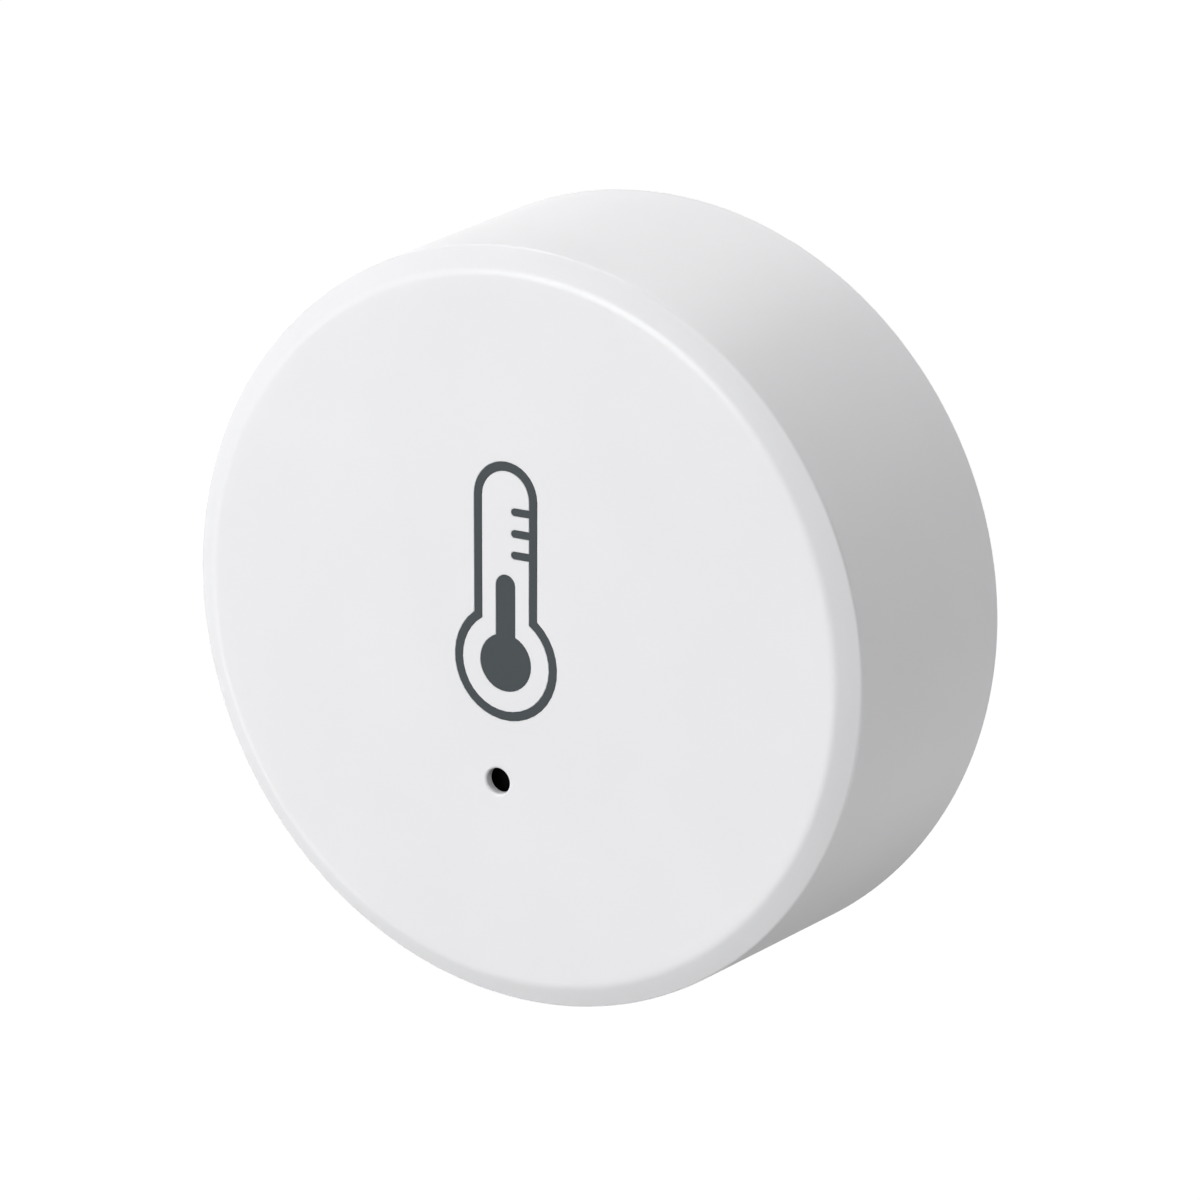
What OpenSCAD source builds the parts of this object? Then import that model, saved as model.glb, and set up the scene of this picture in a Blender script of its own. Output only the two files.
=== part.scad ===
// Round wall sensor for temperature and humidity.
// Pieces are drawn in a bench frame: the sensor lies on its back, z = 0 is the wall face,
// z points to the front and y points to the top of the symbol. stand() turns it upright.

/* [Body] */
// Diameter of the body at its rear rim
rear_d = 42; // [41:0.5:50]
// Diameter of the body at the outer edge of the bevel ring
front_d = 40; // [39.5:0.5:48]
// Thickness of the drafted side wall
side_wall = 1.8; // [1.4:0.1:2.2]
// Thickness of the rim around the rear cover
rim_wall = 1.6; // [1.2:0.1:1.7]
// Thickness of the front wall
front_wall = 1.6; // [1.2:0.1:2.4]
// Radial width of the bevel ring
bevel_w = 1.25; // [0.8:0.05:2]
// Depth of the bevel ring
bevel_h = 0.57; // [0.3:0.01:0.9]
// Rounding where the face meets the bevel ring
face_edge_r = 1.3; // [0.2:0.1:1.4]
// Rounding where the bevel ring meets the side wall
bevel_edge_r = 0.2; // [0.1:0.05:0.4]

/* [Symbol on the face] */
// Depth of the inlaid symbol
symbol_t = 0.15; // [0.05:0.05:0.4]
// Line width of the outline
symbol_line = 0.49; // [0.3:0.01:0.6]
// Outer radius of the tube outline
tube_r = 1.9; // [1.5:0.05:2.4]
// Height of the tube's top above the face centre
tube_top = 9.19; // [8:0.01:12]
// Outer radius of the ring around the bulb
ring_r = 3.1; // [2.6:0.05:4]
// Height of the bulb's centre above the face centre
bulb_y = -1.35; // [-3:0.05:0]
// Radius of the filled bulb
bulb_r = 1.54; // [1:0.02:2]
// Width of the filled column
column_w = 1.17; // [0.8:0.01:1.6]
// Height of the column's top above the face centre
column_top = 3.31; // [2:0.01:4]
// Number of scale ticks
tick_count = 3; // [1:1:4]
// Thickness of a tick
tick_t = 0.41; // [0.2:0.01:0.6]
// Distance from the tube's axis to a tick's round end
tick_x = 0.34; // [0.1:0.02:0.8]
// Height of the top tick above the face centre
tick_y = 6.65; // [6:0.05:7]
// Distance from tick to tick
tick_pitch = 1.125; // [0.8:0.025:1.2]

/* [Pin hole] */
// Diameter of the pin hole
pin_d = 1.4; // [0.8:0.1:2]
// Sideways place of the pin hole
pin_x = -0.5; // [-1:0.05:1]
// Height of the pin hole above the face centre
pin_y = -7.85; // [-8.5:0.05:-7.5]
// Wall left in front of the plunger
pin_skin = 0.5; // [0.3:0.05:1]

/* [Rear cover] */
// Thickness of the rear cover
cover_t = 1.2; // [1:0.1:2]
// Clearance around and in front of the rear cover
cover_gap = 0.2; // [0.1:0.05:0.4]
// Angle of the first lock hook
hook_angle = 90; // [85:1:95]
// Turn from locked to free, in degrees
lock_turn = 20; // [18:1:24]
// Arc of a hook, in degrees
hook_arc = 16; // [10:1:18]
// Play at each end of a ledge, in degrees
ledge_play = 1.5; // [1:0.1:2]
// Arc of an end stop, in degrees
stop_arc = 3; // [2:0.5:4]
// Radial width of the ledges in the shell
ledge_w = 1.3; // [1:0.05:1.6]
// Thickness of a ledge
ledge_t = 1.3; // [1:0.1:1.6]
// Thickness of a hook's nose
nose_t = 1.2; // [0.8:0.1:1.6]
// Thickness of a hook's post
post_t = 1.2; // [0.9:0.1:1.5]
// Clearance of hooks and ledges when turning
turn_gap = 0.3; // [0.2:0.05:0.4]
// Clearance of a locked hook above its ledge
lock_gap = 0.15; // [0.1:0.05:0.3]
// Width of a turning notch in the cover's rear
notch_w = 4.4; // [3:0.2:6]
// Depth of a turning notch
notch_depth = 0.7; // [0.4:0.1:0.8]
// Size of the pointer mark
mark_size = 2; // [1:0.1:2.2]
// Depth of the pointer mark
mark_depth = 0.2; // [0.1:0.05:0.4]

/* [Adhesive pad] */
// Diameter of the pad
pad_d = 28; // [20:1:28]
// Thickness of the pad
pad_t = 0.8; // [0.6:0.1:1.6]
// Depth of the pad's seat in the cover
pad_seat = 0.3; // [0.2:0.05:0.5]
// Clearance around the pad in its seat
pad_gap = 0.15; // [0.1:0.05:0.4]

/* [Vents] */
// Number of vent slots in the underside
vent_count = 5; // [3:1:6]
// Width of a vent slot
vent_w = 1; // [0.6:0.1:1.4]
// Length of a vent slot
vent_h = 3; // [2:0.1:3.2]
// Angle of the middle of the vents, in degrees
vent_angle = 270; // [265:1:275]
// Angle between vent slots, in degrees
vent_pitch = 7.5; // [6:0.5:9]
// Wall between the vent slots and the board's plane
vent_edge = 0.4; // [0.2:0.1:1]

/* [Coin cell] */
// Diameter of the cell
cell_d = 24.5; // [20:0.5:24.5]
// Thickness of the cell
cell_t = 5; // [3.2:0.1:5.4]
// Sheet of the cell's can and cap
can_t = 0.3; // [0.2:0.05:0.4]
// Wall of the cell's seal
seal_t = 0.6; // [0.4:0.1:0.9]
// Step from the cell's cap face back to the can's edge
can_step = 0.5; // [0.3:0.1:0.8]

/* [Cell holder] */
// Clearance around the cell in its holder
cell_gap = 0.2; // [0.1:0.05:0.3]
// Wall of the holder
holder_wall = 1; // [0.8:0.1:1.2]
// Base of the holder
holder_base = 0.6; // [0.4:0.1:1]
// Thickness of the holder's lips
lip_t = 0.45; // [0.3:0.05:0.8]
// Reach of the lips over the cell
lip_reach = 0.5; // [0.3:0.05:0.8]
// Arc of a lip, in degrees
lip_arc = 24; // [14:1:30]
// Clearance between the lips and the cell
lip_gap = 0.05; // [0.02:0.01:0.1]
// Room between the lips and the rear cover
lip_room = 0.3; // [0.3:0.05:1]
// Width of the finger notch in the holder
finger_w = 9; // [6:0.5:11]
// Wall left below the finger notch
finger_floor = 1.2; // [0.8:0.1:2]
// Sheet of the battery contacts
contact_t = 0.2; // [0.15:0.05:0.3]
// Width of the battery contacts
contact_w = 4; // [2:0.5:5]
// Clearance of the contacts in the holder's slots
contact_gap = 0.2; // [0.1:0.05:0.3]
// Gap between the can and the contact beside it
touch_gap = 0.05; // [0.02:0.01:0.1]
// Length of a contact's solder foot
foot_l = 2.2; // [1.5:0.1:2.4]
// Reach of the negative contact past the cell's axis
tongue_l = 4; // [2:0.5:6]

/* [Circuit board] */
// Thickness of the board
board_t = 1; // [0.6:0.1:1.6]
// Clearance around the board
board_gap = 0.5; // [0.3:0.05:0.6]
// Distance from the board's edge to a screw's axis
screw_edge = 2.2; // [2:0.05:2.3]
// Diameter of the screw's thread
screw_d = 1.7; // [1.4:0.1:2]
// Diameter of the screw's head
head_d = 3.2; // [2.8:0.1:3.4]
// Height of the screw's head
head_h = 1; // [0.7:0.1:1.2]
// Depth of the cross slot in a screw's head
cross_depth = 0.5; // [0.3:0.05:0.6]
// Width of the cross slot
cross_w = 0.4; // [0.3:0.05:0.5]
// Length of the cross slot
cross_l = 2; // [1.6:0.1:2.2]
// Length of thread in the boss
screw_bite = 3; // [2:0.1:3.6]
// Clearance of the screw in the board
screw_gap = 0.15; // [0.1:0.05:0.3]
// Clearance of the thread in its pilot hole
pilot_gap = 0.02; // [0.01:0.01:0.05]
// Room past the screw's tip
pilot_room = 0.3; // [0.2:0.1:0.6]
// Diameter of the screw bosses
boss_d = 4.2; // [3.6:0.1:4.4]

/* [Sensor chip] */
// Side of the sensor chip
chip_w = 2.5; // [2:0.1:3]
// Height of the sensor chip
chip_h = 0.9; // [0.6:0.1:1.2]
// Distance from the board's edge to the chip's centre
chip_edge = 2.6; // [2.4:0.1:2.8]
// Diameter of the chip's air port
chip_port = 1; // [0.6:0.1:1.4]
// Depth of the chip's air port
chip_port_depth = 0.3; // [0.1:0.05:0.5]
// Width of the slot that keeps heat from the chip
slot_w = 0.7; // [0.5:0.1:0.8]
// Board left between the chip and the slot
slot_edge = 0.6; // [0.4:0.1:0.8]

/* [Push switch] */
// Side of the switch
switch_w = 6; // [5.6:0.1:6.4]
// Height of the switch with its frame
switch_h = 3; // [2.8:0.1:4]
// Thickness of the switch's steel frame
frame_t = 0.3; // [0.2:0.05:0.4]
// Diameter of the plunger
plunger_d = 3; // [2.4:0.1:3.2]
// Running clearance of the plunger in the frame
plunger_gap = 0.1; // [0.05:0.01:0.1]
// Clearance of the plunger in the front wall's pocket
pocket_gap = 0.5; // [0.4:0.1:0.7]
// Gap between the plunger and the wall in front of it
plunger_room = 0.4; // [0.2:0.1:1]
// Width of the collar that keeps the plunger in
collar_w = 0.4; // [0.3:0.05:0.5]
// Play of the collar under the frame and in its well
collar_gap = 0.1; // [0.05:0.05:0.2]
// Travel of the plunger
travel = 0.25; // [0.15:0.05:0.3]
// Spare travel of the plunger above the dome
travel_room = 0.05; // [0.05:0.05:0.1]
// Rise of the snap dome
dome_rise = 0.4; // [0.3:0.05:0.5]
// Sheet of the snap dome
dome_t = 0.1; // [0.08:0.02:0.12]
// Floor of the switch's base
switch_floor = 0.8; // [0.5:0.1:1]
// Room between the switch and the front wall
front_room = 0.6; // [0.3:0.1:6]
// Length of a switch terminal
terminal_l = 0.7; // [0.5:0.1:1]
// Width of a switch terminal
terminal_w = 1; // [0.6:0.1:1.2]
// Thickness of a switch terminal
terminal_t = 0.15; // [0.1:0.05:0.25]
// Distance between the terminals of one side
terminal_pitch = 3; // [2:0.1:4]

/* [Radio] */
// Width of the radio module's board
module_w = 11; // [9:0.5:12]
// Length of the radio module's board
module_l = 12; // [11:0.1:13]
// Thickness of the radio module's board
module_t = 0.8; // [0.6:0.1:1]
// Height of the module's centre above the face centre
module_y = 5; // [4:0.1:6]
// Length of the shield can
shield_l = 7.4; // [6:0.1:7.6]
// Height of the shield can
shield_h = 1.6; // [1.2:0.1:1.8]
// Edge of module board left around the shield can
shield_edge = 0.8; // [0.5:0.1:1.5]
// Sheet of the shield can
shield_t = 0.15; // [0.1:0.05:0.25]
// Size of the chip antenna
antenna_size = [5.2, 1.6, 1]; // [0.8:0.1:6]
// Distance from the module's far edge to the antenna
antenna_edge = 0.6; // [0.3:0.1:0.8]

/* [Small parts] */
// Size of the crystal
crystal_size = [3.2, 2.5, 0.8]; // [0.5:0.1:4]
// Size of the inductor
inductor_size = [3, 3, 1.2]; // [0.5:0.1:4]
// Size of the large capacitor
bulk_size = [3.5, 2.8, 1.9]; // [0.5:0.1:4]
// Size of a small capacitor
capacitor_size = [0.8, 1.6, 0.8]; // [0.3:0.1:2]
// Size of a resistor
resistor_size = [0.8, 1.6, 0.45]; // [0.3:0.05:2]
// Size of the lamp
led_size = [1.6, 0.8, 0.7]; // [0.4:0.1:2]
// Gap between the lamp and the switch
led_gap = 0.4; // [0.2:0.1:1]
// Number of small capacitors and of resistors
row_count = 4; // [2:1:4]
// Distance between small parts in a row
row_pitch = 1.5; // [1.3:0.1:1.6]
// Gap between parts beside the radio module
part_gap = 1.5; // [1:0.1:1.8]
// Distance of the rows below the parts beside the module
row_gap = 1.2; // [0.8:0.1:1.5]

/* [Hidden] */
$fn = 96;
// Overlap that joins two solids of one piece, and excess of a cut past a face
weld = 0.4;
past = 1;

// Planes of the stack, from the wall to the front
rim_z = pad_t - pad_seat;
cover_z = rim_z + cover_t;
lip_z = cover_z + lip_room;
cell_z = lip_z + lip_t + lip_gap;
cap_z = cell_z + cell_t;
holder_z = cap_z + contact_t;
board_z = holder_z + holder_base;
parts_z = board_z + board_t;
frame_z = parts_z + switch_h;
ceiling_z = frame_z + front_room;
front_z = ceiling_z + front_wall;
bevel_z = front_z - bevel_h;
seat_z = cover_z + cover_gap;
ledge_z = seat_z + ledge_t;
nose_z = ledge_z + lock_gap;
hook_z = nose_z + nose_t;

// Radii of the body
rear_r = rear_d / 2;
front_r = front_d / 2;
face_r = front_r - bevel_w;
draft = (rear_r - front_r) / (bevel_z - rim_z);
function outer_r(z) = rear_r - (z - rim_z) * draft;
function inner_r(z) = outer_r(z) - side_wall;
seat_r = rear_r - rim_wall;
cover_r = seat_r - cover_gap;
wall_r = inner_r(hook_z);
ledge_r = wall_r - ledge_w;
nose_r = wall_r - turn_gap;
post_r = ledge_r - turn_gap;
hook_count = 3;

// Cell and holder
cell_r = cell_d / 2;
holder_in_r = cell_r + cell_gap;
holder_r = holder_in_r + holder_wall;
cap_r = cell_r - can_t - seal_t;
contact_slot = contact_w + 2 * contact_gap;
lip_angles = [45, 135, 225, 315];

// Board and screws
board_r = inner_r(parts_z) - board_gap;
screw_ring = board_r - screw_edge;
screw_r = screw_d / 2;
screw_count = 3;
screw_angle = 90;
chip_y = chip_edge - board_r;

// Push switch
plunger_r = plunger_d / 2;
collar_r = plunger_r + collar_w;
well_r = collar_r + collar_gap;
well_z = parts_z + switch_floor;
base_top_z = frame_z - frame_t;
collar_z = well_z + dome_rise + travel + travel_room;
collar_top_z = base_top_z - collar_gap;
pocket_z = front_z - pin_skin;
plunger_z = pocket_z - plunger_room;

// Parts beside the radio module
side_x = module_w / 2 + part_gap;

// Turns a piece from the bench frame upright: its front faces -Y and the symbol's top points to +Z
module stand() {
    rotate([90, 0, 0])
        children();
}

// Part of a ring with a rectangular section
module arc_bar(r_in, r_out, z_low, z_high, from, to) {
    rotate([0, 0, from])
        rotate_extrude(angle = to - from)
            translate([r_in, z_low])
                square([r_out - r_in, z_high - z_low]);
}

// Box centred in x and y that stands on z_low
module block(size, place, z_low) {
    translate([place[0] - size[0] / 2, place[1] - size[1] / 2, z_low])
        cube(size);
}

function unit(v) = v / norm(v);

// What a round of radius r takes off the corner at p between the edges towards a and b
module corner_off(p, a, b, r) {
    to_a = unit(a - p);
    to_b = unit(b - p);
    half = acos(to_a * to_b) / 2;
    inward = unit(to_a + to_b);
    reach = r / tan(half);
    middle = p + inward * r / sin(half);
    difference() {
        polygon([p - inward * past, p + to_a * reach, middle, p + to_b * reach]);
        translate(middle)
            circle(r);
    }
}

// Half section of the shell's outside, r to the right and z up
module shell_section() {
    centre = [0, front_z];
    face_edge = [face_r, front_z];
    bevel_edge = [front_r, bevel_z];
    rim_edge = [rear_r, rim_z];
    difference() {
        polygon([[0, rim_z], rim_edge, bevel_edge, face_edge, centre]);
        corner_off(face_edge, centre, bevel_edge, face_edge_r);
        corner_off(bevel_edge, face_edge, rim_edge, bevel_edge_r);
    }
}

// Half section of the hollow: the cover's seat and the drafted room behind the front wall
module hollow_section() {
    translate([0, rim_z - past])
        square([seat_r, seat_z - rim_z + past]);
    polygon([[0, rim_z], [inner_r(rim_z), rim_z], [inner_r(ceiling_z), ceiling_z], [0, ceiling_z]]);
}

// Outline of the thermometer, with its ticks
module symbol_outline() {
    arch_y = tube_top - tube_r;
    inside_r = tube_r - symbol_line;
    difference() {
        union() {
            translate([0, bulb_y])
                circle(ring_r);
            translate([-tube_r, bulb_y])
                square([2 * tube_r, arch_y - bulb_y]);
            translate([0, arch_y])
                circle(tube_r);
        }
        translate([0, bulb_y])
            circle(ring_r - symbol_line);
        translate([-inside_r, bulb_y])
            square([2 * inside_r, arch_y - bulb_y]);
        translate([0, arch_y])
            circle(inside_r);
    }
    for (i = [0 : tick_count - 1]) {
        translate([tick_x + tick_t / 2, tick_y - i * tick_pitch]) {
            circle(tick_t / 2);
            translate([0, -tick_t / 2])
                square([tube_r - symbol_line / 2 - tick_x - tick_t / 2, tick_t]);
        }
    }
}

// Filled bulb and column of the thermometer
module symbol_column() {
    translate([0, bulb_y])
        circle(bulb_r);
    translate([-column_w / 2, bulb_y])
        square([column_w, column_top - column_w / 2 - bulb_y]);
    translate([0, column_top - column_w / 2])
        circle(column_w / 2);
}

module at_screws() {
    for (i = [0 : screw_count - 1])
        rotate([0, 0, screw_angle + i * 360 / screw_count])
            translate([screw_ring, 0, 0])
                children();
}

// Ledges and end stops that the cover's hooks turn behind
module lock_ledges() {
    reach_r = wall_r + weld;
    half = hook_arc / 2 + ledge_play;
    for (i = [0 : hook_count - 1])
        rotate([0, 0, hook_angle + i * 360 / hook_count]) {
            arc_bar(ledge_r, reach_r, seat_z, ledge_z, -half, half + stop_arc);
            arc_bar(ledge_r, reach_r, seat_z, hook_z, half, half + stop_arc);
            arc_bar(ledge_r, reach_r, seat_z, hook_z, -lock_turn - half - stop_arc, -lock_turn - half);
        }
}

// Slots with round ends through the underside of the side wall
module vent_slots() {
    low_z = board_z - vent_edge - vent_h + vent_w / 2;
    high_z = board_z - vent_edge - vent_w / 2;
    depth = side_wall + 2 * past;
    for (i = [0 : vent_count - 1])
        rotate([0, 0, vent_angle + (i - (vent_count - 1) / 2) * vent_pitch])
            translate([inner_r(low_z) - past, 0, 0]) {
                translate([0, -vent_w / 2, low_z])
                    cube([depth, vent_w, high_z - low_z]);
                for (z = [low_z, high_z])
                    translate([0, 0, z])
                        rotate([0, 90, 0])
                            cylinder(h = depth, d = vent_w);
            }
}

module front_shell() {
    color("white")
        stand()
            difference() {
                union() {
                    difference() {
                        rotate_extrude()
                            shell_section();
                        rotate_extrude()
                            hollow_section();
                    }
                    at_screws()
                        translate([0, 0, parts_z])
                            cylinder(h = ceiling_z - parts_z + weld, d = boss_d);
                    lock_ledges();
                }
                at_screws()
                    translate([0, 0, parts_z - past])
                        cylinder(h = screw_bite + pilot_room + past, r = screw_r + pilot_gap);
                translate([pin_x, pin_y, ceiling_z - past])
                    cylinder(h = pocket_z - ceiling_z + past, r = plunger_r + pocket_gap);
                translate([pin_x, pin_y, pocket_z - past])
                    cylinder(h = pin_skin + 2 * past, d = pin_d);
                translate([0, 0, front_z - symbol_t])
                    linear_extrude(symbol_t + past) {
                        symbol_outline();
                        symbol_column();
                    }
                vent_slots();
            }
}

module thermometer_symbol() {
    color("dimgray")
        stand()
            translate([0, 0, front_z - symbol_t]) {
                linear_extrude(symbol_t)
                    symbol_outline();
                linear_extrude(symbol_t)
                    symbol_column();
            }
}

// Post and nose of each hook, in front of the cover
module lock_hooks() {
    half = hook_arc / 2;
    for (i = [0 : hook_count - 1])
        rotate([0, 0, hook_angle + i * 360 / hook_count]) {
            arc_bar(post_r - post_t, post_r, cover_z - weld, hook_z, -half, half);
            arc_bar(post_r - post_t, nose_r, nose_z, hook_z, -half, half);
        }
}

module rear_cover() {
    mark_y = (pad_d / 2 + pad_gap + post_r) / 2;
    color("whitesmoke")
        stand()
            difference() {
                union() {
                    translate([0, 0, rim_z])
                        cylinder(h = cover_t, r = cover_r);
                    lock_hooks();
                }
                translate([0, 0, rim_z - past])
                    cylinder(h = pad_seat + past, r = pad_d / 2 + pad_gap);
                for (i = [0 : hook_count - 1])
                    rotate([0, 0, hook_angle + i * 360 / hook_count])
                        arc_bar(post_r, cover_r + past, rim_z - past, cover_z + past,
                            -hook_arc / 2, hook_arc / 2);
                for (side = [-1, 1])
                    translate([side * cover_r, 0, rim_z - past])
                        cylinder(h = notch_depth + past, d = notch_w);
                translate([0, -mark_y, rim_z - past])
                    linear_extrude(mark_depth + past)
                        polygon([[-mark_size / 2, mark_size / 2], [mark_size / 2, mark_size / 2],
                            [0, -mark_size / 2]]);
            }
}

module adhesive_pad() {
    color("lightgray")
        stand()
            cylinder(h = pad_t, d = pad_d);
}

// Slots on three sides of the sensor chip
module heat_slot() {
    half = chip_w / 2 + slot_edge;
    arm_l = chip_w + 2 * slot_edge;
    for (side = [-1, 1])
        translate([side * (half + slot_w / 2) - slot_w / 2, chip_y - chip_w / 2, board_z - past])
            cube([slot_w, arm_l + slot_w - slot_edge, board_t + 2 * past]);
    translate([-half - slot_w, chip_y + half, board_z - past])
        cube([2 * (half + slot_w), slot_w, board_t + 2 * past]);
}

module circuit_board() {
    color("seagreen")
        stand()
            difference() {
                translate([0, 0, board_z])
                    cylinder(h = board_t, r = board_r);
                at_screws()
                    translate([0, 0, board_z - past])
                        cylinder(h = board_t + 2 * past, r = screw_r + screw_gap);
                heat_slot();
            }
}

module board_screws() {
    color("silver")
        stand()
            at_screws()
                difference() {
                    union() {
                        translate([0, 0, board_z - head_h])
                            cylinder(h = head_h, d = head_d);
                        translate([0, 0, board_z - weld])
                            cylinder(h = board_t + screw_bite - screw_r + weld, r = screw_r);
                        translate([0, 0, parts_z + screw_bite - screw_r])
                            cylinder(h = screw_r, r1 = screw_r, r2 = screw_r / 2);
                    }
                    for (turn = [0, 90])
                        rotate([0, 0, turn])
                            block([cross_l, cross_w, cross_depth + past], [0, 0],
                                board_z - head_h - past);
                }
}

module sensor_chip() {
    color("dimgray")
        stand()
            difference() {
                block([chip_w, chip_w, chip_h], [0, chip_y], board_z - chip_h);
                translate([0, chip_y, board_z - chip_h - past])
                    cylinder(h = chip_port_depth + past, d = chip_port);
            }
}

module radio_module() {
    color("darkgreen")
        stand()
            block([module_w, module_l, module_t], [0, module_y], parts_z);
}

// Sheet can, open towards the module's board
module radio_shield() {
    width = module_w - 2 * shield_edge;
    place = [0, module_y - module_l / 2 + shield_edge + shield_l / 2];
    low_z = parts_z + module_t;
    color("silver")
        stand()
            difference() {
                block([width, shield_l, shield_h], place, low_z);
                block([width - 2 * shield_t, shield_l - 2 * shield_t, shield_h - shield_t + past], place,
                    low_z - past);
            }
}

module chip_antenna() {
    place = [0, module_y + module_l / 2 - antenna_edge - antenna_size[1] / 2];
    color("white")
        stand()
            block(antenna_size, place, parts_z + module_t);
}

module crystal() {
    color("gold")
        stand()
            block(crystal_size, [side_x + crystal_size[0] / 2, module_y], parts_z);
}

module inductor() {
    high_y = module_y - crystal_size[1] / 2 - part_gap;
    place = [side_x + inductor_size[0] / 2, high_y - inductor_size[1] / 2];
    color("gray")
        stand()
            block(inductor_size, place, parts_z);
}

module bulk_capacitor() {
    color("orange")
        stand()
            block(bulk_size, [-side_x - bulk_size[0] / 2, module_y], parts_z);
}

// Row of equal parts beside the radio module, outward from it
module part_row(size, side, y_high) {
    for (i = [0 : row_count - 1])
        block(size, [side * (side_x + i * row_pitch), y_high - size[1] / 2], parts_z);
}

module capacitors() {
    color("tan")
        stand()
            part_row(capacitor_size, -1, module_y - bulk_size[1] / 2 - part_gap);
}

module resistors() {
    low_y = module_y - crystal_size[1] / 2 - part_gap - inductor_size[1];
    color("black")
        stand()
            part_row(resistor_size, 1, low_y - row_gap);
}

module status_led() {
    color("ivory")
        stand()
            block(led_size, [pin_x + switch_w / 2 + led_gap + led_size[0] / 2, pin_y], parts_z);
}

module switch_base() {
    color("black")
        stand()
            difference() {
                block([switch_w, switch_w, switch_h - frame_t], [pin_x, pin_y], parts_z);
                translate([pin_x, pin_y, well_z])
                    cylinder(h = switch_h, r = well_r);
            }
}

module switch_frame() {
    color("silver")
        stand()
            difference() {
                block([switch_w, switch_w, frame_t], [pin_x, pin_y], base_top_z);
                translate([pin_x, pin_y, base_top_z - past])
                    cylinder(h = frame_t + 2 * past, r = plunger_r + plunger_gap);
            }
}

// Shallow spherical cap of thin sheet on the floor of the well
module switch_dome() {
    rim_r = collar_r;
    ball_r = (rim_r * rim_r + dome_rise * dome_rise) / (2 * dome_rise);
    color("silver")
        stand()
            translate([pin_x, pin_y, well_z])
                intersection() {
                    translate([0, 0, dome_rise - ball_r])
                        difference() {
                            sphere(r = ball_r);
                            sphere(r = ball_r - dome_t);
                        }
                    cylinder(h = dome_rise + past, r = rim_r);
                }
}

module switch_terminals() {
    reach = (switch_w + terminal_l) / 2;
    color("silver")
        stand()
            for (side = [-1, 1])
                for (end = [-1, 1])
                    block([terminal_w, terminal_l, terminal_t],
                        [pin_x + end * terminal_pitch / 2, pin_y + side * reach], parts_z);
}

module reset_plunger() {
    color("black")
        stand()
            translate([pin_x, pin_y, 0]) {
                translate([0, 0, collar_z])
                    cylinder(h = collar_top_z - collar_z, r = collar_r);
                translate([0, 0, collar_z])
                    cylinder(h = plunger_z - collar_z, r = plunger_r);
            }
}

module cell_holder() {
    slot_l = 2 * holder_wall + 2 * cell_gap + past;
    color("dimgray")
        stand()
            difference() {
                union() {
                    difference() {
                        translate([0, 0, cell_z - lip_gap])
                            cylinder(h = board_z - cell_z + lip_gap, r = holder_r);
                        translate([0, 0, cell_z - lip_gap - past])
                            cylinder(h = holder_z - cell_z + lip_gap + past, r = holder_in_r);
                    }
                    for (middle = lip_angles)
                        arc_bar(cell_r - lip_reach, holder_r, lip_z, lip_z + lip_t,
                            middle - lip_arc / 2, middle + lip_arc / 2);
                }
                for (side = [-1, 1])
                    block([slot_l, contact_slot, board_z], [side * holder_r, 0], past);
                translate([-finger_w / 2, 0, lip_z - past])
                    cube([finger_w, holder_r + past, holder_z - finger_floor - lip_z + past]);
            }
}

// Strip beside the can, with its foot on the board
module positive_contact() {
    near_x = cell_r + touch_gap;
    top_z = cell_z + can_step;
    color("gold")
        stand() {
            translate([near_x, -contact_w / 2, top_z])
                cube([contact_t, contact_w, board_z - top_z]);
            translate([near_x, -contact_w / 2, board_z - contact_t])
                cube([holder_r - near_x + foot_l, contact_w, contact_t]);
        }
}

// Strip under the cell's cap, with its foot on the board
module negative_contact() {
    bend_x = -holder_r - contact_gap;
    color("gold")
        stand() {
            translate([bend_x, -contact_w / 2, cap_z])
                cube([tongue_l - bend_x, contact_w, contact_t]);
            translate([bend_x - contact_t, -contact_w / 2, cap_z])
                cube([contact_t, contact_w, board_z - cap_z]);
            translate([bend_x - foot_l, -contact_w / 2, board_z - contact_t])
                cube([foot_l, contact_w, contact_t]);
        }
}

module cell_can() {
    color("silver")
        stand()
            difference() {
                translate([0, 0, cell_z])
                    cylinder(h = cell_t - can_step, r = cell_r);
                translate([0, 0, cell_z + can_t])
                    cylinder(h = cell_t, r = cell_r - can_t);
            }
}

module cell_seal() {
    color("black")
        stand()
            difference() {
                translate([0, 0, cell_z + can_t])
                    cylinder(h = cell_t - can_t - can_step, r = cell_r - can_t);
                translate([0, 0, cell_z])
                    cylinder(h = cell_t, r = cap_r);
            }
}

module cell_cap() {
    color("lightgray")
        stand()
            difference() {
                translate([0, 0, cell_z + 2 * can_t])
                    cylinder(h = cell_t - 2 * can_t, r = cap_r);
                translate([0, 0, cell_z])
                    cylinder(h = cell_t - can_t, r = cap_r - can_t);
            }
}

module cell_core() {
    color("darkslategray")
        stand()
            translate([0, 0, cell_z + can_t])
                cylinder(h = cell_t - 2 * can_t, r = cap_r - can_t);
}

rear_cover();
adhesive_pad();
front_shell();
thermometer_symbol();
circuit_board();
board_screws();
sensor_chip();
radio_module();
radio_shield();
chip_antenna();
crystal();
inductor();
bulk_capacitor();
capacitors();
resistors();
status_led();
switch_base();
switch_frame();
switch_dome();
switch_terminals();
reset_plunger();
cell_holder();
positive_contact();
negative_contact();
cell_can();
cell_cap();
cell_seal();
cell_core();
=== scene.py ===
"""Looks of a round wall sensor for temperature and humidity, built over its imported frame.

Lengths are in metres. A place on the sensor is given as across (+X), up (+Z) and out from the wall (-Y).
"""
import math

import bmesh
import bpy
from mathutils import Matrix, Vector


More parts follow.
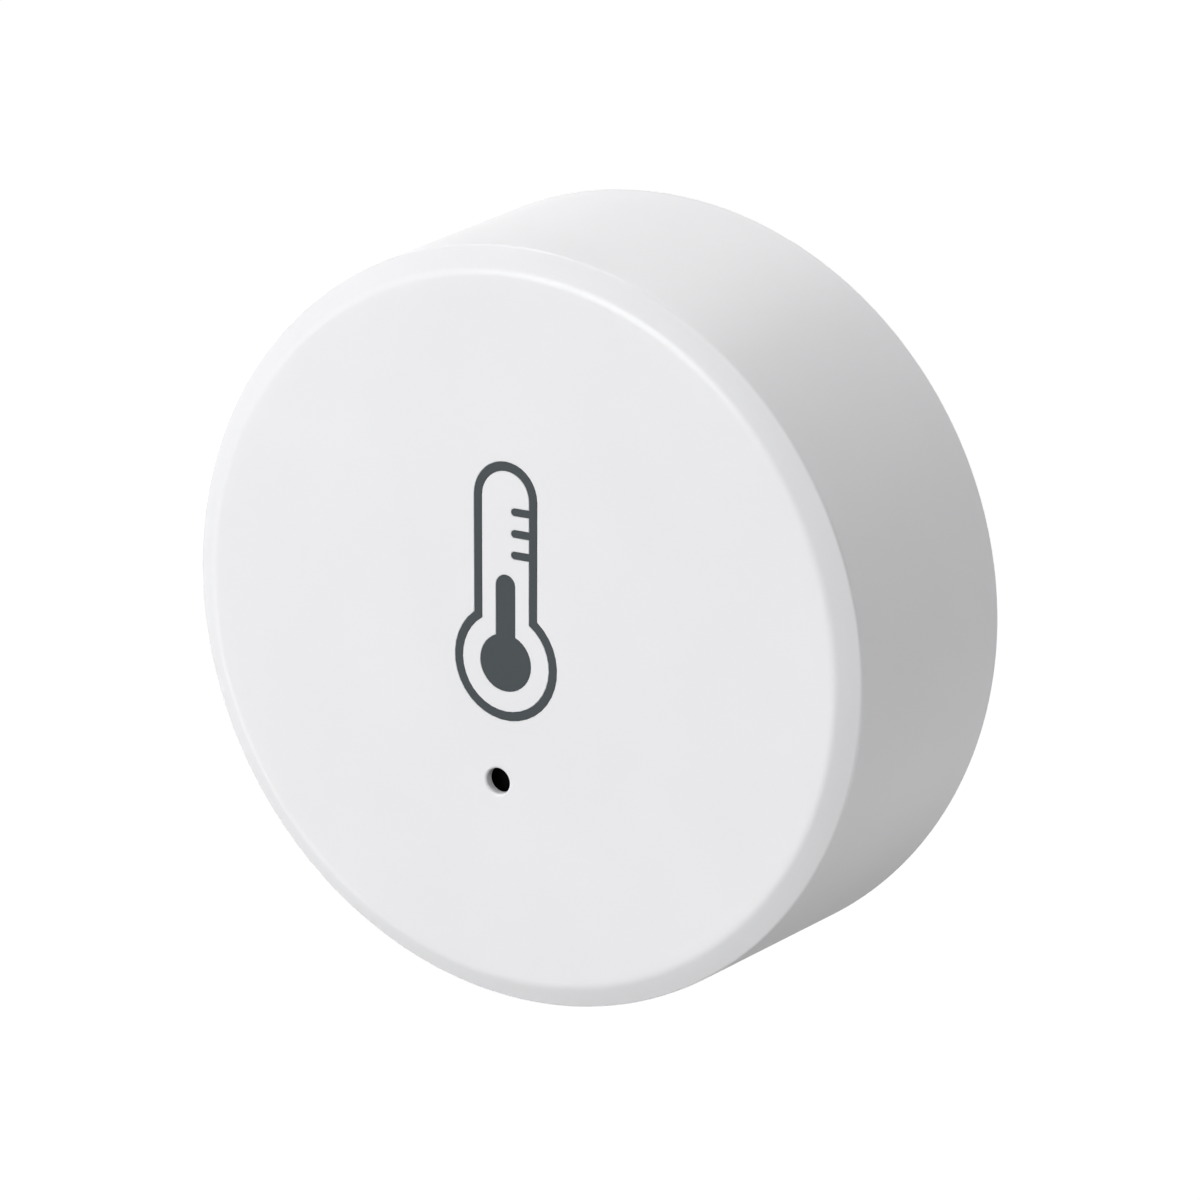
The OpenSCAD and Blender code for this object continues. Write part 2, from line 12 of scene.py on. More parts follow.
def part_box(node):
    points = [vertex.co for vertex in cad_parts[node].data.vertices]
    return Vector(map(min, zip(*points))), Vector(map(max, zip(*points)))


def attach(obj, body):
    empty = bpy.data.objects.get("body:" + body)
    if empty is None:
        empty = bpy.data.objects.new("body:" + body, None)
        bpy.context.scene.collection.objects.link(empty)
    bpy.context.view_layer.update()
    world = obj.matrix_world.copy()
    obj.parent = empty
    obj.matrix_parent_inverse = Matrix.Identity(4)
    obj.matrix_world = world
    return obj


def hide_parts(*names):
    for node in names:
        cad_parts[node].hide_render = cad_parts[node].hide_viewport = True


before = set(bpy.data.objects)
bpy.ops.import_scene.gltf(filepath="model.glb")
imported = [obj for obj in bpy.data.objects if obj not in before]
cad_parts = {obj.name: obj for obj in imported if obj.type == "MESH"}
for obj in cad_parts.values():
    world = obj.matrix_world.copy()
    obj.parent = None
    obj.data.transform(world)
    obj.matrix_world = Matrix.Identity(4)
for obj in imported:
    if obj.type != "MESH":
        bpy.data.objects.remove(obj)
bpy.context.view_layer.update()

MM = 0.001


def span(node):
    """Lowest and highest across, up and out of a node of the frame."""
    low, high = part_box(node)
    return Vector((low.x, low.z, -high.y)), Vector((high.x, high.z, -low.y))


shell_low, shell_high = span("front_shell")
symbol_low, symbol_high = span("thermometer_symbol")
plunger_low, plunger_high = span("reset_plunger")
cover_low, cover_high = span("rear_cover")
pad_low, pad_high = span("adhesive_pad")
board_low, board_high = span("circuit_board")
screws_low, screws_high = span("board_screws")
module_low, module_high = span("radio_module")
frame_low, frame_high = span("switch_frame")

# Shell
REAR_R = shell_high.x
RIM = shell_low.z
FRONT = shell_high.z
FRONT_R = REAR_R - 1.0 * MM
BEVEL_W = 1.25 * MM
BEVEL_H = 0.57 * MM
FACE_EDGE_R = 1.3 * MM
BEVEL_EDGE_R = 0.2 * MM
RIM_EDGE_R = 0.35 * MM
SIDE_WALL = 1.8 * MM
RIM_WALL = 1.6 * MM
FRONT_WALL = 1.6 * MM
CEILING = FRONT - FRONT_WALL
BEVEL = FRONT - BEVEL_H
FACE_R = FRONT_R - BEVEL_W
SEAT = RIM + 1.4 * MM
SEAT_R = REAR_R - RIM_WALL
INNER_EDGE_R = 0.15 * MM
CEILING_EDGE_R = 0.6 * MM
BOSS_R = 2.1 * MM
PILOT_R = 0.87 * MM
PILOT_DEPTH = 3.3 * MM

# Twist lock
THREE = [90, 210, 330]
HOOK = cover_high.z
HOOK_T = 1.2 * MM
HOOK_GAP = 0.3 * MM
HOOK_HALF = 8
LEDGE_W = 1.3 * MM
LEDGE_T = 1.3 * MM
LEDGE_HALF = 9.5
STOP_ARC = 3
STOP_PROUD = 0.05 * MM
LOCK_TURN = 20

# Rear cover and its foam pad
COVER_R = SEAT_R - 0.2 * MM
COVER_T = 1.2 * MM
COVER_FRONT = RIM + COVER_T
COVER_EDGE_R = 0.25 * MM
PAD_R = pad_high.x
PAD_SEAT_R = PAD_R + 0.15 * MM
PAD_BULGE = 0.06 * MM
FILM_T = 0.05 * MM
TURN_NOTCH_R = 2.2 * MM
TURN_NOTCH_DEPTH = 0.7 * MM
MARK = 2.0 * MM
MARK_DEPTH = 0.2 * MM

# Pin hole, the pocket behind it and the plunger in the pocket
PIN = Vector((plunger_low.x + plunger_high.x, plunger_low.y + plunger_high.y)) / 2
PIN_R = 0.7 * MM
PIN_EDGE_R = 0.15 * MM
PIN_SKIN = 0.5 * MM
POCKET_R = 2.0 * MM
COLLAR_R = (plunger_high.x - plunger_low.x) / 2
COLLAR_TOP = plunger_low.z + 1.1 * MM
STEM_R = COLLAR_R - 0.4 * MM
STEM_EDGE_R = 0.2 * MM
STEM_DISH = 0.05 * MM
STAKE_R = 0.45 * MM
STAKE_ROUND = 0.8
STAKE_H = 0.15 * MM
STAKE_INSET = 0.7 * MM

# Vent slots in the underside
VENT_COUNT = 5
VENT_W = 1.0 * MM
VENT_L = 3.0 * MM
VENT_PITCH = 7.5
VENT_ANGLE = 270
VENT_EDGE_R = 0.15 * MM
VENT_TOP = board_low.z - 0.4 * MM

# Symbol
LINE = 0.49 * MM
TUBE_R = 1.9 * MM
RING_R = symbol_high.x
ARCH = symbol_high.y - TUBE_R
BULB = symbol_low.y + RING_R
BULB_R = 1.54 * MM
COLUMN_R = 0.585 * MM
COLUMN_ARCH = 3.31 * MM - COLUMN_R
TICK_COUNT = 3
TICK_R = 0.205 * MM
TICK_X = 0.34 * MM + TICK_R
TICK_Y = 6.65 * MM
TICK_PITCH = 1.125 * MM
RECESS = FRONT - symbol_low.z
GROOVE = 0.02 * MM

# Screws
SCREW_HEAD_R = 1.6 * MM
SCREW_HEAD_EDGE_R = 0.5 * MM
SCREW_RING = screws_high.y - SCREW_HEAD_R
THREAD_R = 0.85 * MM
THREAD_DEPTH = 0.17 * MM
THREAD_PITCH = 0.6 * MM
THREAD_STEPS = 8
THREAD_SHARE = 0.35
TIP_L = 0.85 * MM
TIP_SHARE = 0.5
CROSS_L = 1.7 * MM
CROSS_W = 0.34 * MM
CROSS_DEPTH = 0.5 * MM

# Small parts on the board
CHIP_W = 0.8 * MM
CHIP_COUNT = 4
CHIP_CAP = 0.32 * MM
CHIP_SKIN = 0.03 * MM
CHIP_EDGE_R = 0.05 * MM
FILM_SHARE = 0.9
LAMP_STEP = 0.45
LEAD_T = 0.1 * MM
LEAD_W = 2.2 * MM
STRIPE_W = 0.6 * MM
LID_INSET = 0.2 * MM
PLATE_T = 0.3 * MM
WIRE_D = 0.2 * MM
WIRE_ARC = 80
ANTENNA_CAP = 0.5 * MM
MEANDER_TURNS = 7
MEANDER_W = 0.16 * MM
SHIELD_LID = 0.65
SHIELD_INSET = 0.08 * MM
SHIELD_EDGE_R = 0.15 * MM
SHIELD_HOLE_R = 0.3 * MM
SHIELD_HOLES = (4, 3)
SOLDER_L = 0.3 * MM
SOLDER_RISE = 0.45
SOLDER_H = 0.35 * MM
LAND_T = 0.03 * MM
LAND_R = 2.0 * MM
VIA_R = 0.28 * MM
TEST_PAD_R = 0.5 * MM
TEST_PAD_ANGLES = range(20, 71, 10)
MODULE_PADS = 8
MODULE_PITCH = 1.2 * MM
MODULE_PAD_W = 0.7 * MM
TRACK_W = 0.2 * MM
TRACK_RUN = 0.7 * MM

# Fineness of the meshes, with angles in degrees
ROUND = 256
COARSE = 32
ARC_STEP = 10
EDGE_STEPS = 5
BLOCK_STEPS = 3
ROUND_PROFILE = 0.5
SHARP_ANGLE = 35
FLAT_ANGLE = 0.5
EDGE_ANGLE = 40

# How far a tool reaches past a face, and how near two points are taken for one
PAST = 1.0 * MM
WELD = 0.001 * MM


def at(across, up, out):
    """Point of the frame at a place across, up and out."""
    return Vector((across, -out, up))


def polar(radius, angle):
    """Place across and up at a radius and an angle in degrees."""
    turn = math.radians(angle)
    return Vector((radius * math.cos(turn), radius * math.sin(turn)))


def arc(centre, radius, start, end, step=ARC_STEP):
    """Points of an arc from one angle to another in degrees, both ends included."""
    count = max(2, math.ceil(abs(end - start) / step))
    return [Vector(centre) + polar(radius, start + (end - start) * i / count) for i in range(count + 1)]


def circle(centre, radius, out, count):
    """Ring of points around an axis that points out from the wall."""
    turns = [360 * i / count for i in range(count)]
    return [at(*(Vector(centre) + polar(radius, turn)), out) for turn in turns]


def quarter(radius):
    """Offsets (sideways, back) of a quarter round that opens a hole's mouth."""
    turns = [math.radians(90 * i / EDGE_STEPS) for i in range(EDGE_STEPS + 1)]
    return [(radius * (1 - math.cos(turn)), radius * (1 - math.sin(turn))) for turn in turns]


def rounded(corners):
    """Path through corners (x, y, radius), with an arc in place of each corner that has a radius."""
    points = [Vector(corner[:2]) for corner in corners]
    path = [points[0]]
    for before, here, after, corner in zip(points, points[1:], points[2:], corners[1:]):
        radius = corner[2]
        if radius == 0:
            path.append(here)
            continue
        back, on = (before - here).normalized(), (after - here).normalized()
        half = back.angle(on) / 2
        middle = here + (back + on).normalized() * radius / math.sin(half)
        start = here + back * radius / math.tan(half) - middle
        end = here + on * radius / math.tan(half) - middle
        turn = start.angle_signed(end)
        count = max(2, math.ceil(abs(math.degrees(turn)) / ARC_STEP))
        for i in range(count + 1):
            path.append(middle + Matrix.Rotation(-turn * i / count, 2) @ start)
    path.append(points[-1])
    return path


def wall(bm, rings):
    """Faces between rings of equally many points. Returns the rings as vertices."""
    rows = [[bm.verts.new(point) for point in ring] for ring in rings]
    for low, high in zip(rows, rows[1:]):
        for a, b, c, d in zip(low, low[1:] + low[:1], high[1:] + high[:1], high):
            bm.faces.new((a, b, c, d))
    return rows


def join(bm, part, finish):
    """Adds a part to the mesh of a piece, in one of the piece's finishes."""
    bmesh.ops.recalc_face_normals(part, faces=part.faces)
    for face in part.faces:
        face.material_index = finish
    mesh = bpy.data.meshes.new("part")
    part.to_mesh(mesh)
    part.free()
    bm.from_mesh(mesh)
    bpy.data.meshes.remove(mesh)


def solid(bm, *stacks, finish=0):
    """Closed solid with a wall through each stack of rings, and flat caps that join the walls' ends."""
    part = bmesh.new()
    walls = [wall(part, rings) for rings in stacks]
    for end in (0, -1):
        if len(walls) == 1:
            part.faces.new(walls[0][end])
            continue
        loops = [rows[end] for rows in walls]
        edges = [part.edges.get(pair) for loop in loops for pair in zip(loop, loop[1:] + loop[:1])]
        bmesh.ops.triangle_fill(part, edges=edges, use_beauty=True)
    join(bm, part, finish)


def lathe(bm, section, centre=(0, 0), count=ROUND, finish=0):
    """Solid turned around an axis that points out, from a path of (radius, out) between two flat ends."""
    solid(bm, [circle(centre, radius, out, count) for radius, out in section], finish=finish)


def block(bm, low, high, edge_r, finish=0):
    """Box with rounded edges between two corners (across, up, out)."""
    part = bmesh.new()
    bmesh.ops.create_cube(part, size=1)
    low, high = Vector(low), Vector(high)
    for vert in part.verts:
        share = vert.co + Vector((0.5, 0.5, 0.5))
        vert.co = at(*(low + (high - low) * share))
    bmesh.ops.bevel(part, geom=part.edges[:], offset=edge_r, segments=BLOCK_STEPS,
                    profile=ROUND_PROFILE, affect="EDGES")
    join(bm, part, finish)


def sweep(bm, section, start, end):
    """Solid that a closed section of (radius, out) passes through between two angles in degrees."""
    count = max(2, math.ceil((end - start) * ROUND / 360))
    turns = [start + (end - start) * i / count for i in range(count + 1)]
    solid(bm, [[at(*polar(radius, turn), out) for radius, out in section] for turn in turns])


def arc_bar(bm, r_in, r_out, low, high, start, end, edge_r=0.0):
    """Part of a ring with a rectangular section, whose edges may be rounded."""
    corners = [(r_out, low), (r_out, high), (r_in, high), (r_in, low)]
    closed = [(r_out, (low + high) / 2, 0)] + [(*corner, edge_r) for corner in corners[1:] + corners[:1]]
    sweep(bm, rounded(closed + closed[:1])[:-1], start, end)


def new_piece(name, bm):
    """Object that takes over a mesh under construction."""
    mesh = bpy.data.meshes.new(name)
    bm.to_mesh(mesh)
    bm.free()
    piece = bpy.data.objects.new(name, mesh)
    bpy.context.scene.collection.objects.link(piece)
    return piece


def weld(mesh):
    """Merges points that a cut left on top of each other, so that every face has an area."""
    bm = bmesh.new()
    bm.from_mesh(mesh)
    bmesh.ops.remove_doubles(bm, verts=bm.verts, dist=WELD)
    bmesh.ops.dissolve_degenerate(bm, edges=bm.edges, dist=WELD)
    bm.to_mesh(mesh)
    bm.free()


def combine(piece, operation, bm):
    """Adds a tool's solids to a piece, or cuts them from it."""
    tool = new_piece("tool", bm)
    boolean = piece.modifiers.new(operation, "BOOLEAN")
    boolean.operation = operation
    boolean.solver = "EXACT"
    boolean.use_self = True
    boolean.object = tool
    evaluated = piece.evaluated_get(bpy.context.evaluated_depsgraph_get())
    mesh = bpy.data.meshes.new_from_object(evaluated)
    mesh.name = piece.name
    weld(mesh)
    piece.modifiers.clear()
    piece.data = mesh
    bpy.data.objects.remove(tool)


def smooth(piece):
    """Smooth shading that keeps flat faces flat and edges above an angle sharp."""
    piece.data.shade_smooth()
    piece.data.set_sharp_from_angle(angle=math.radians(SHARP_ANGLE))
    normals = piece.modifiers.new("normals", "WEIGHTED_NORMAL")
    normals.keep_sharp = True


def soften(node, edge_r):
    """Rounds the edges of a node of the frame with modifiers alone."""
    node.modifiers.new("weld", "WELD").merge_threshold = WELD
    flat = node.modifiers.new("flat", "DECIMATE")
    flat.decimate_type = "DISSOLVE"
    flat.angle_limit = math.radians(FLAT_ANGLE)
    edges = node.modifiers.new("edges", "BEVEL")
    edges.width = edge_r
    edges.segments = BLOCK_STEPS
    edges.limit_method = "ANGLE"
    edges.angle_limit = math.radians(EDGE_ANGLE)
    node.modifiers.new("normals", "WEIGHTED_NORMAL").keep_sharp = True


def outer_r(out):
    """Radius of the drafted outside at a distance from the wall."""
    return REAR_R - (REAR_R - FRONT_R) * (out - RIM) / (BEVEL - RIM)


def inner_r(out):
    """Radius of the drafted inside."""
    return outer_r(out) - SIDE_WALL


def symbol_loops(inset):
    """Outer and inner edge of the outline and edge of the column, drawn in by an inset of the dark area."""
    tube, ring = TUBE_R - inset, RING_R - inset
    meet = math.degrees(math.acos(tube / ring))
    outer = arc((0, ARCH), tube, 0, 180) + arc((0, BULB), ring, 180 - meet, 360 + meet)
    tube, ring = TUBE_R - LINE + inset, RING_R - LINE + inset
    meet = math.degrees(math.acos(tube / ring))
    inner = arc((0, ARCH), tube, 0, 180) + arc((0, BULB), ring, 180 - meet, 360 + meet)
    for i in reversed(range(TICK_COUNT)):
        middle, radius = TICK_Y - i * TICK_PITCH, TICK_R - inset
        inner.append(Vector((tube, middle - radius)))
        inner += arc((TICK_X, middle), radius, 270, 90, step=2 * ARC_STEP)
        inner.append(Vector((tube, middle + radius)))
    column_r, bulb_r = COLUMN_R - inset, BULB_R - inset
    meet = math.degrees(math.acos(column_r / bulb_r))
    column = arc((0, COLUMN_ARCH), column_r, 0, 180) + arc((0, BULB), bulb_r, 180 - meet, 360 + meet)
    return outer, inner, column


def symbol_solids(bm, levels):
    """Outline and column as solids through levels (inset, out)."""
    sets = [[[at(*point, out) for point in loop] for loop in symbol_loops(inset)] for inset, out in levels]
    outer, inner, column = zip(*sets)
    solid(bm, outer, inner)
    solid(bm, column)


def vent_slots(bm):
    """Tools for slots with round ends and rounded mouths in the side wall."""
    half_w, half_l = VENT_W / 2, VENT_L / 2 - VENT_W / 2
    middle = VENT_TOP - VENT_L / 2
    levels = [(0, SIDE_WALL + PAST)] + quarter(VENT_EDGE_R) + [(VENT_EDGE_R, -PAST)]
    for i in range(VENT_COUNT):
        angle = VENT_ANGLE + (i - (VENT_COUNT - 1) / 2) * VENT_PITCH
        toward, beside = polar(1, angle), polar(1, angle + 90)
        rings = []
        for flare, depth in levels:
            ends = arc((0, half_l), half_w + flare, 0, 180) + arc((0, -half_l), half_w + flare, 180, 360)
            ring = []
            for side, along in ends:
                out = middle + along
                reach = math.sqrt(outer_r(out) ** 2 - side ** 2) - depth
                ring.append(at(*(toward * reach + beside * side), out))
            rings.append(ring)
        solid(bm, rings)


def front_shell():
    """White cup with its face, bevel ring and drafted wall, and the bosses and ledges inside it."""
    edge_in = inner_r(CEILING) - CEILING_EDGE_R * 2
    section = rounded([
        (FACE_R - FACE_EDGE_R, FRONT, 0),
        (FACE_R, FRONT, FACE_EDGE_R),
        (FRONT_R, BEVEL, BEVEL_EDGE_R),
        (REAR_R, RIM, RIM_EDGE_R),
        (SEAT_R, RIM, RIM_EDGE_R),
        (SEAT_R, SEAT, 0),
        (inner_r(SEAT), SEAT, INNER_EDGE_R),
        (inner_r(CEILING), CEILING, CEILING_EDGE_R),
        (edge_in, CEILING, 0),
    ])
    bm = bmesh.new()
    lathe(bm, section)
    shell = new_piece("shell", bm)

    bm = bmesh.new()
    reach = inner_r(HOOK) + SIDE_WALL / 2
    ledge_r = inner_r(HOOK) - LEDGE_W
    near, far = ledge_r - STOP_PROUD, reach + STOP_PROUD
    for angle in THREE:
        boss = rounded([
            (BOSS_R / 2, board_high.z, 0),
            (BOSS_R, board_high.z, INNER_EDGE_R),
            (BOSS_R, CEILING + FRONT_WALL / 2, 0),
            (BOSS_R / 2, CEILING + FRONT_WALL / 2, 0),
        ])
        lathe(bm, boss, polar(SCREW_RING, angle), COARSE)
        stop = angle + LEDGE_HALF
        free_stop = angle - LOCK_TURN - LEDGE_HALF
        inside = stop + STOP_ARC / 2
        arc_bar(bm, ledge_r, reach, SEAT, SEAT + LEDGE_T, angle - LEDGE_HALF, inside, INNER_EDGE_R)
        for start in (stop, free_stop - STOP_ARC):
            arc_bar(bm, near, far, SEAT, HOOK, start, start + STOP_ARC, INNER_EDGE_R)
    combine(shell, "UNION", bm)

    bm = bmesh.new()
    for angle in THREE:
        pilot = [(PILOT_R, board_high.z - PAST), (PILOT_R, board_high.z + PILOT_DEPTH)]
        lathe(bm, pilot, polar(SCREW_RING, angle), COARSE)
    lathe(bm, [(POCKET_R, CEILING - PAST), (POCKET_R, FRONT - PIN_SKIN)], PIN, 2 * COARSE)
    mouth = [(PIN_R + sideways, FRONT - back) for sideways, back in quarter(PIN_EDGE_R)]
    hole = [(PIN_R, CEILING)] + mouth + [(PIN_R + PIN_EDGE_R, FRONT + PAST)]
    lathe(bm, hole, PIN, 2 * COARSE)
    symbol_solids(bm, [(0, FRONT - RECESS), (0, FRONT - GROOVE), (-GROOVE, FRONT), (-GROOVE, FRONT + PAST)])
    vent_slots(bm)
    combine(shell, "DIFFERENCE", bm)
    return shell


def symbol_inlay():
    """Grey inlay of the thermometer, flush with the face, with a fine groove around it."""
    bm = bmesh.new()
    edge = GROOVE / 2
    symbol_solids(bm, [(edge, FRONT - RECESS), (edge, FRONT - edge), (2 * edge, FRONT)])
    return new_piece("symbol_inlay", bm)


def rear_cover():
    """White cover with the pad's seat, three hooks, slots behind them, turning notches and a pointer."""
    middle = PAD_SEAT_R / 2
    section = rounded([
        (middle, pad_high.z, 0),
        (PAD_SEAT_R, pad_high.z, 0),
        (PAD_SEAT_R, RIM, COVER_EDGE_R / 2),
        (COVER_R, RIM, COVER_EDGE_R),
        (COVER_R, COVER_FRONT, COVER_EDGE_R),
        (middle, COVER_FRONT, 0),
    ])
    bm = bmesh.new()
    lathe(bm, section)
    cover = new_piece("cover", bm)

    post_r = inner_r(HOOK) - LEDGE_W - HOOK_GAP
    nose_r = inner_r(HOOK) - HOOK_GAP
    back_r = post_r - HOOK_T
    nose = HOOK - HOOK_T
    root = COVER_FRONT - COVER_T / 2
    hook = rounded([
        (back_r, root, 0),
        (post_r, root, 0),
        (post_r, nose, 0),
        (nose_r, nose, INNER_EDGE_R),
        (nose_r, HOOK, INNER_EDGE_R),
        (back_r, HOOK, INNER_EDGE_R),
        (back_r, nose, 0),
    ])
    bm = bmesh.new()
    for angle in THREE:
        sweep(bm, hook, angle - HOOK_HALF, angle + HOOK_HALF)
    combine(cover, "UNION", bm)

    bm = bmesh.new()
    for angle in THREE:
        start, end = angle - HOOK_HALF, angle + HOOK_HALF
        arc_bar(bm, post_r, COVER_R + PAST, RIM - PAST, COVER_FRONT + PAST, start, end)
    for side in (-1, 1):
        notch = [(TURN_NOTCH_R, RIM - PAST), (TURN_NOTCH_R, RIM + TURN_NOTCH_DEPTH)]
        lathe(bm, notch, (side * COVER_R, 0), 2 * COARSE)
    mark_y = -(PAD_SEAT_R + post_r) / 2
    pointer = [(-MARK / 2, mark_y + MARK / 2), (MARK / 2, mark_y + MARK / 2), (0, mark_y - MARK / 2)]
    solid(bm, [[at(*point, out) for point in pointer] for out in (RIM - PAST, RIM + MARK_DEPTH)])
    combine(cover, "DIFFERENCE", bm)
    return cover


def foam_pad():
    """Foam disc that bulges a little between two thin adhesive films."""
    low, high = pad_low.z + FILM_T, pad_high.z - FILM_T
    count = 2 * EDGE_STEPS
    shares = [i / count for i in range(count + 1)]
    bulge = [(PAD_R - PAD_BULGE * (2 * share - 1) ** 2, low + (high - low) * share) for share in shares]
    bm = bmesh.new()
    lathe(bm, bulge)
    film_r = PAD_R - 2 * PAD_BULGE
    lathe(bm, [(film_r, pad_low.z), (film_r, low)], finish=1)
    lathe(bm, [(film_r, high), (film_r, pad_high.z)], finish=1)
    return new_piece("foam_pad", bm)


def plunger():
    """Plunger of the push switch, with a collar and a slightly dished tip."""
    section = rounded([
        (COLLAR_R / 2, plunger_low.z, 0),
        (COLLAR_R, plunger_low.z, INNER_EDGE_R),
        (COLLAR_R, COLLAR_TOP, INNER_EDGE_R),
        (STEM_R, COLLAR_TOP, 0),
        (STEM_R, plunger_high.z, STEM_EDGE_R),
        (STEM_R / 2, plunger_high.z, 0),
        (STEM_R / 4, plunger_high.z - STEM_DISH, 0),
    ])
    bm = bmesh.new()
    lathe(bm, section, PIN, 3 * COARSE)
    return new_piece("plunger", bm)


def thread_r(out, angle):
    """Radius of a screw's thread at a distance from the wall and an angle in degrees."""
    turn = (out / THREAD_PITCH - angle / 360) % 1
    ridge = max(0, 1 - abs(turn - 0.5) / THREAD_SHARE)
    radius = THREAD_R - THREAD_DEPTH * (1 - ridge)
    to_tip = min(1, (screws_high.z - out) / TIP_L)
    return radius * (TIP_SHARE + (1 - TIP_SHARE) * to_tip)


def screws():
    """Three thread-forming screws with pan heads and cross recesses."""
    head = rounded([
        (SCREW_HEAD_R / 3, screws_low.z, 0),
        (SCREW_HEAD_R, screws_low.z, SCREW_HEAD_EDGE_R),
        (SCREW_HEAD_R, board_low.z, CHIP_EDGE_R),
        (THREAD_R, board_low.z, 0),
    ])
    steps = round((screws_high.z - board_low.z) / THREAD_PITCH * THREAD_STEPS)
    levels = [board_low.z + (screws_high.z - board_low.z) * i / steps for i in range(1, steps + 1)]
    turns = [360 * i / COARSE for i in range(COARSE)]
    bm = bmesh.new()
    tool = bmesh.new()
    for angle in THREE:
        centre = polar(SCREW_RING, angle)
        rings = [circle(centre, radius, out, COARSE) for radius, out in head]
        for out in levels:
            rings.append([at(*(centre + polar(thread_r(out, turn), turn)), out) for turn in turns])
        solid(bm, rings)
        for half in (Vector((CROSS_L, CROSS_W)) / 2, Vector((CROSS_W, CROSS_L)) / 2):
            low, high = centre - half, centre + half
            block(tool, (*low, screws_low.z - PAST), (*high, screws_low.z + CROSS_DEPTH), CHIP_EDGE_R)
    piece = new_piece("screws", bm)
    combine(piece, "DIFFERENCE", tool)
    return piece


def row_boxes(node):
    """Boxes of the equal chips that stand in a row in one node."""
    low, high = span(node)
    pitch = (high.x - low.x - CHIP_W) / (CHIP_COUNT - 1)
    starts = [low.x + i * pitch for i in range(CHIP_COUNT)]
    return [(Vector((x, low.y, low.z)), Vector((x + CHIP_W, high.y, high.z))) for x in starts]


def chip(bm, low, high, axis, cap, top=0.0):
    """Chip with a ceramic body (finish 0) between two metal end caps (finish 1), along across or up."""
    skin = Vector((CHIP_SKIN, CHIP_SKIN, 0))
    block(bm, low + skin, high - skin - Vector((0, 0, CHIP_SKIN + top)), CHIP_EDGE_R)
    for end in (low, high):
        cap_low, cap_high = low.copy(), high - Vector((0, 0, top))
        cap_low[axis] = min(end[axis], high[axis] - cap)
        cap_high[axis] = max(end[axis], low[axis] + cap)
        block(bm, cap_low, cap_high, CHIP_EDGE_R, finish=1)


def chip_capacitors():
    """Row of tan ceramic capacitors."""
    bm = bmesh.new()
    for low, high in row_boxes("capacitors"):
        chip(bm, low, high, 1, CHIP_CAP)
    return new_piece("chip_capacitors", bm)


def chip_resistors():
    """Row of white ceramic resistors with a dark glazed film on top."""
    bm = bmesh.new()
    for low, high in row_boxes("resistors"):
        chip(bm, low, high, 1, CHIP_CAP, CHIP_SKIN)
        inset = Vector((CHIP_SKIN, CHIP_CAP * FILM_SHARE, 0))
        film_low = Vector((low.x, low.y, high.z - 3 * CHIP_SKIN)) + inset
        block(bm, film_low, high - inset, CHIP_SKIN, finish=2)
    return new_piece("chip_resistors", bm)


def tantalum():
    """Moulded yellow capacitor with a polarity stripe and folded leads at its ends."""
    low, high = span("bulk_capacitor")
    body_low = low + Vector((LEAD_T, 0, LEAD_T))
    body_high = high - Vector((LEAD_T, 0, 0))
    bm = bmesh.new()
    block(bm, body_low, body_high, 3 * CHIP_EDGE_R)
    skin = Vector((0, 0, CHIP_SKIN / 3))
    stripe_low = Vector((body_low.x + STRIPE_W / 2, body_low.y + 3 * CHIP_EDGE_R, body_high.z - LEAD_T))
    stripe_high = Vector((body_low.x + 3 * STRIPE_W / 2, body_high.y - 3 * CHIP_EDGE_R, body_high.z)) + skin
    block(bm, stripe_low, stripe_high, CHIP_SKIN / 3, finish=2)
    middle = (low.y + high.y) / 2
    rise = low.z + (high.z - low.z) / 2
    for edge, inward in ((low.x, 1), (high.x, -1)):
        inside, toe = edge + inward * LEAD_T, edge + inward * STRIPE_W
        heel = low.z + LEAD_T
        bend = rounded([
            (edge, rise, 0),
            (edge, low.z, LEAD_T),
            (toe, low.z, 0),
            (toe, heel, 0),
            (inside, heel, 0),
            (inside, rise, 0),
        ])
        sides = (middle - LEAD_W / 2, middle + LEAD_W / 2)
        solid(bm, [[at(across, up, out) for across, out in bend] for up in sides], finish=1)
    return new_piece("tantalum", bm)


def crystal_can():
    """Crystal with a metal lid on a ceramic base."""
    low, high = span("crystal")
    step = low.z + (high.z - low.z) / 2
    inset = Vector((LID_INSET, LID_INSET, 0))
    bm = bmesh.new()
    block(bm, low, (high.x, high.y, step), CHIP_EDGE_R)
    block(bm, Vector((low.x, low.y, step - CHIP_SKIN)) + inset, high - inset, LID_INSET / 2, finish=1)
    return new_piece("crystal_can", bm)


def wound_inductor():
    """Coil of copper wire between the two square plates of a ferrite drum."""
    low, high = span("inductor")
    bm = bmesh.new()
    block(bm, low, (high.x, high.y, low.z + PLATE_T), 2 * CHIP_EDGE_R)
    block(bm, (low.x, low.y, high.z - PLATE_T), high, 2 * CHIP_EDGE_R)
    turns = math.floor((high.z - low.z - 2 * PLATE_T) / WIRE_D)
    coil_r = (high.x - low.x) / 2 - WIRE_D
    section = [Vector((coil_r / 2, low.z + PLATE_T / 2))]
    for i in range(turns):
        middle = (coil_r, low.z + PLATE_T + (i + 0.5) * WIRE_D)
        section += arc(middle, WIRE_D / 2, -WIRE_ARC, WIRE_ARC, 2 * ARC_STEP)
    section.append(Vector((coil_r / 2, high.z - PLATE_T / 2)))
    centre = ((low.x + high.x) / 2, (low.y + high.y) / 2)
    lathe(bm, section, centre, 2 * COARSE, finish=1)
    return new_piece("wound_inductor", bm)


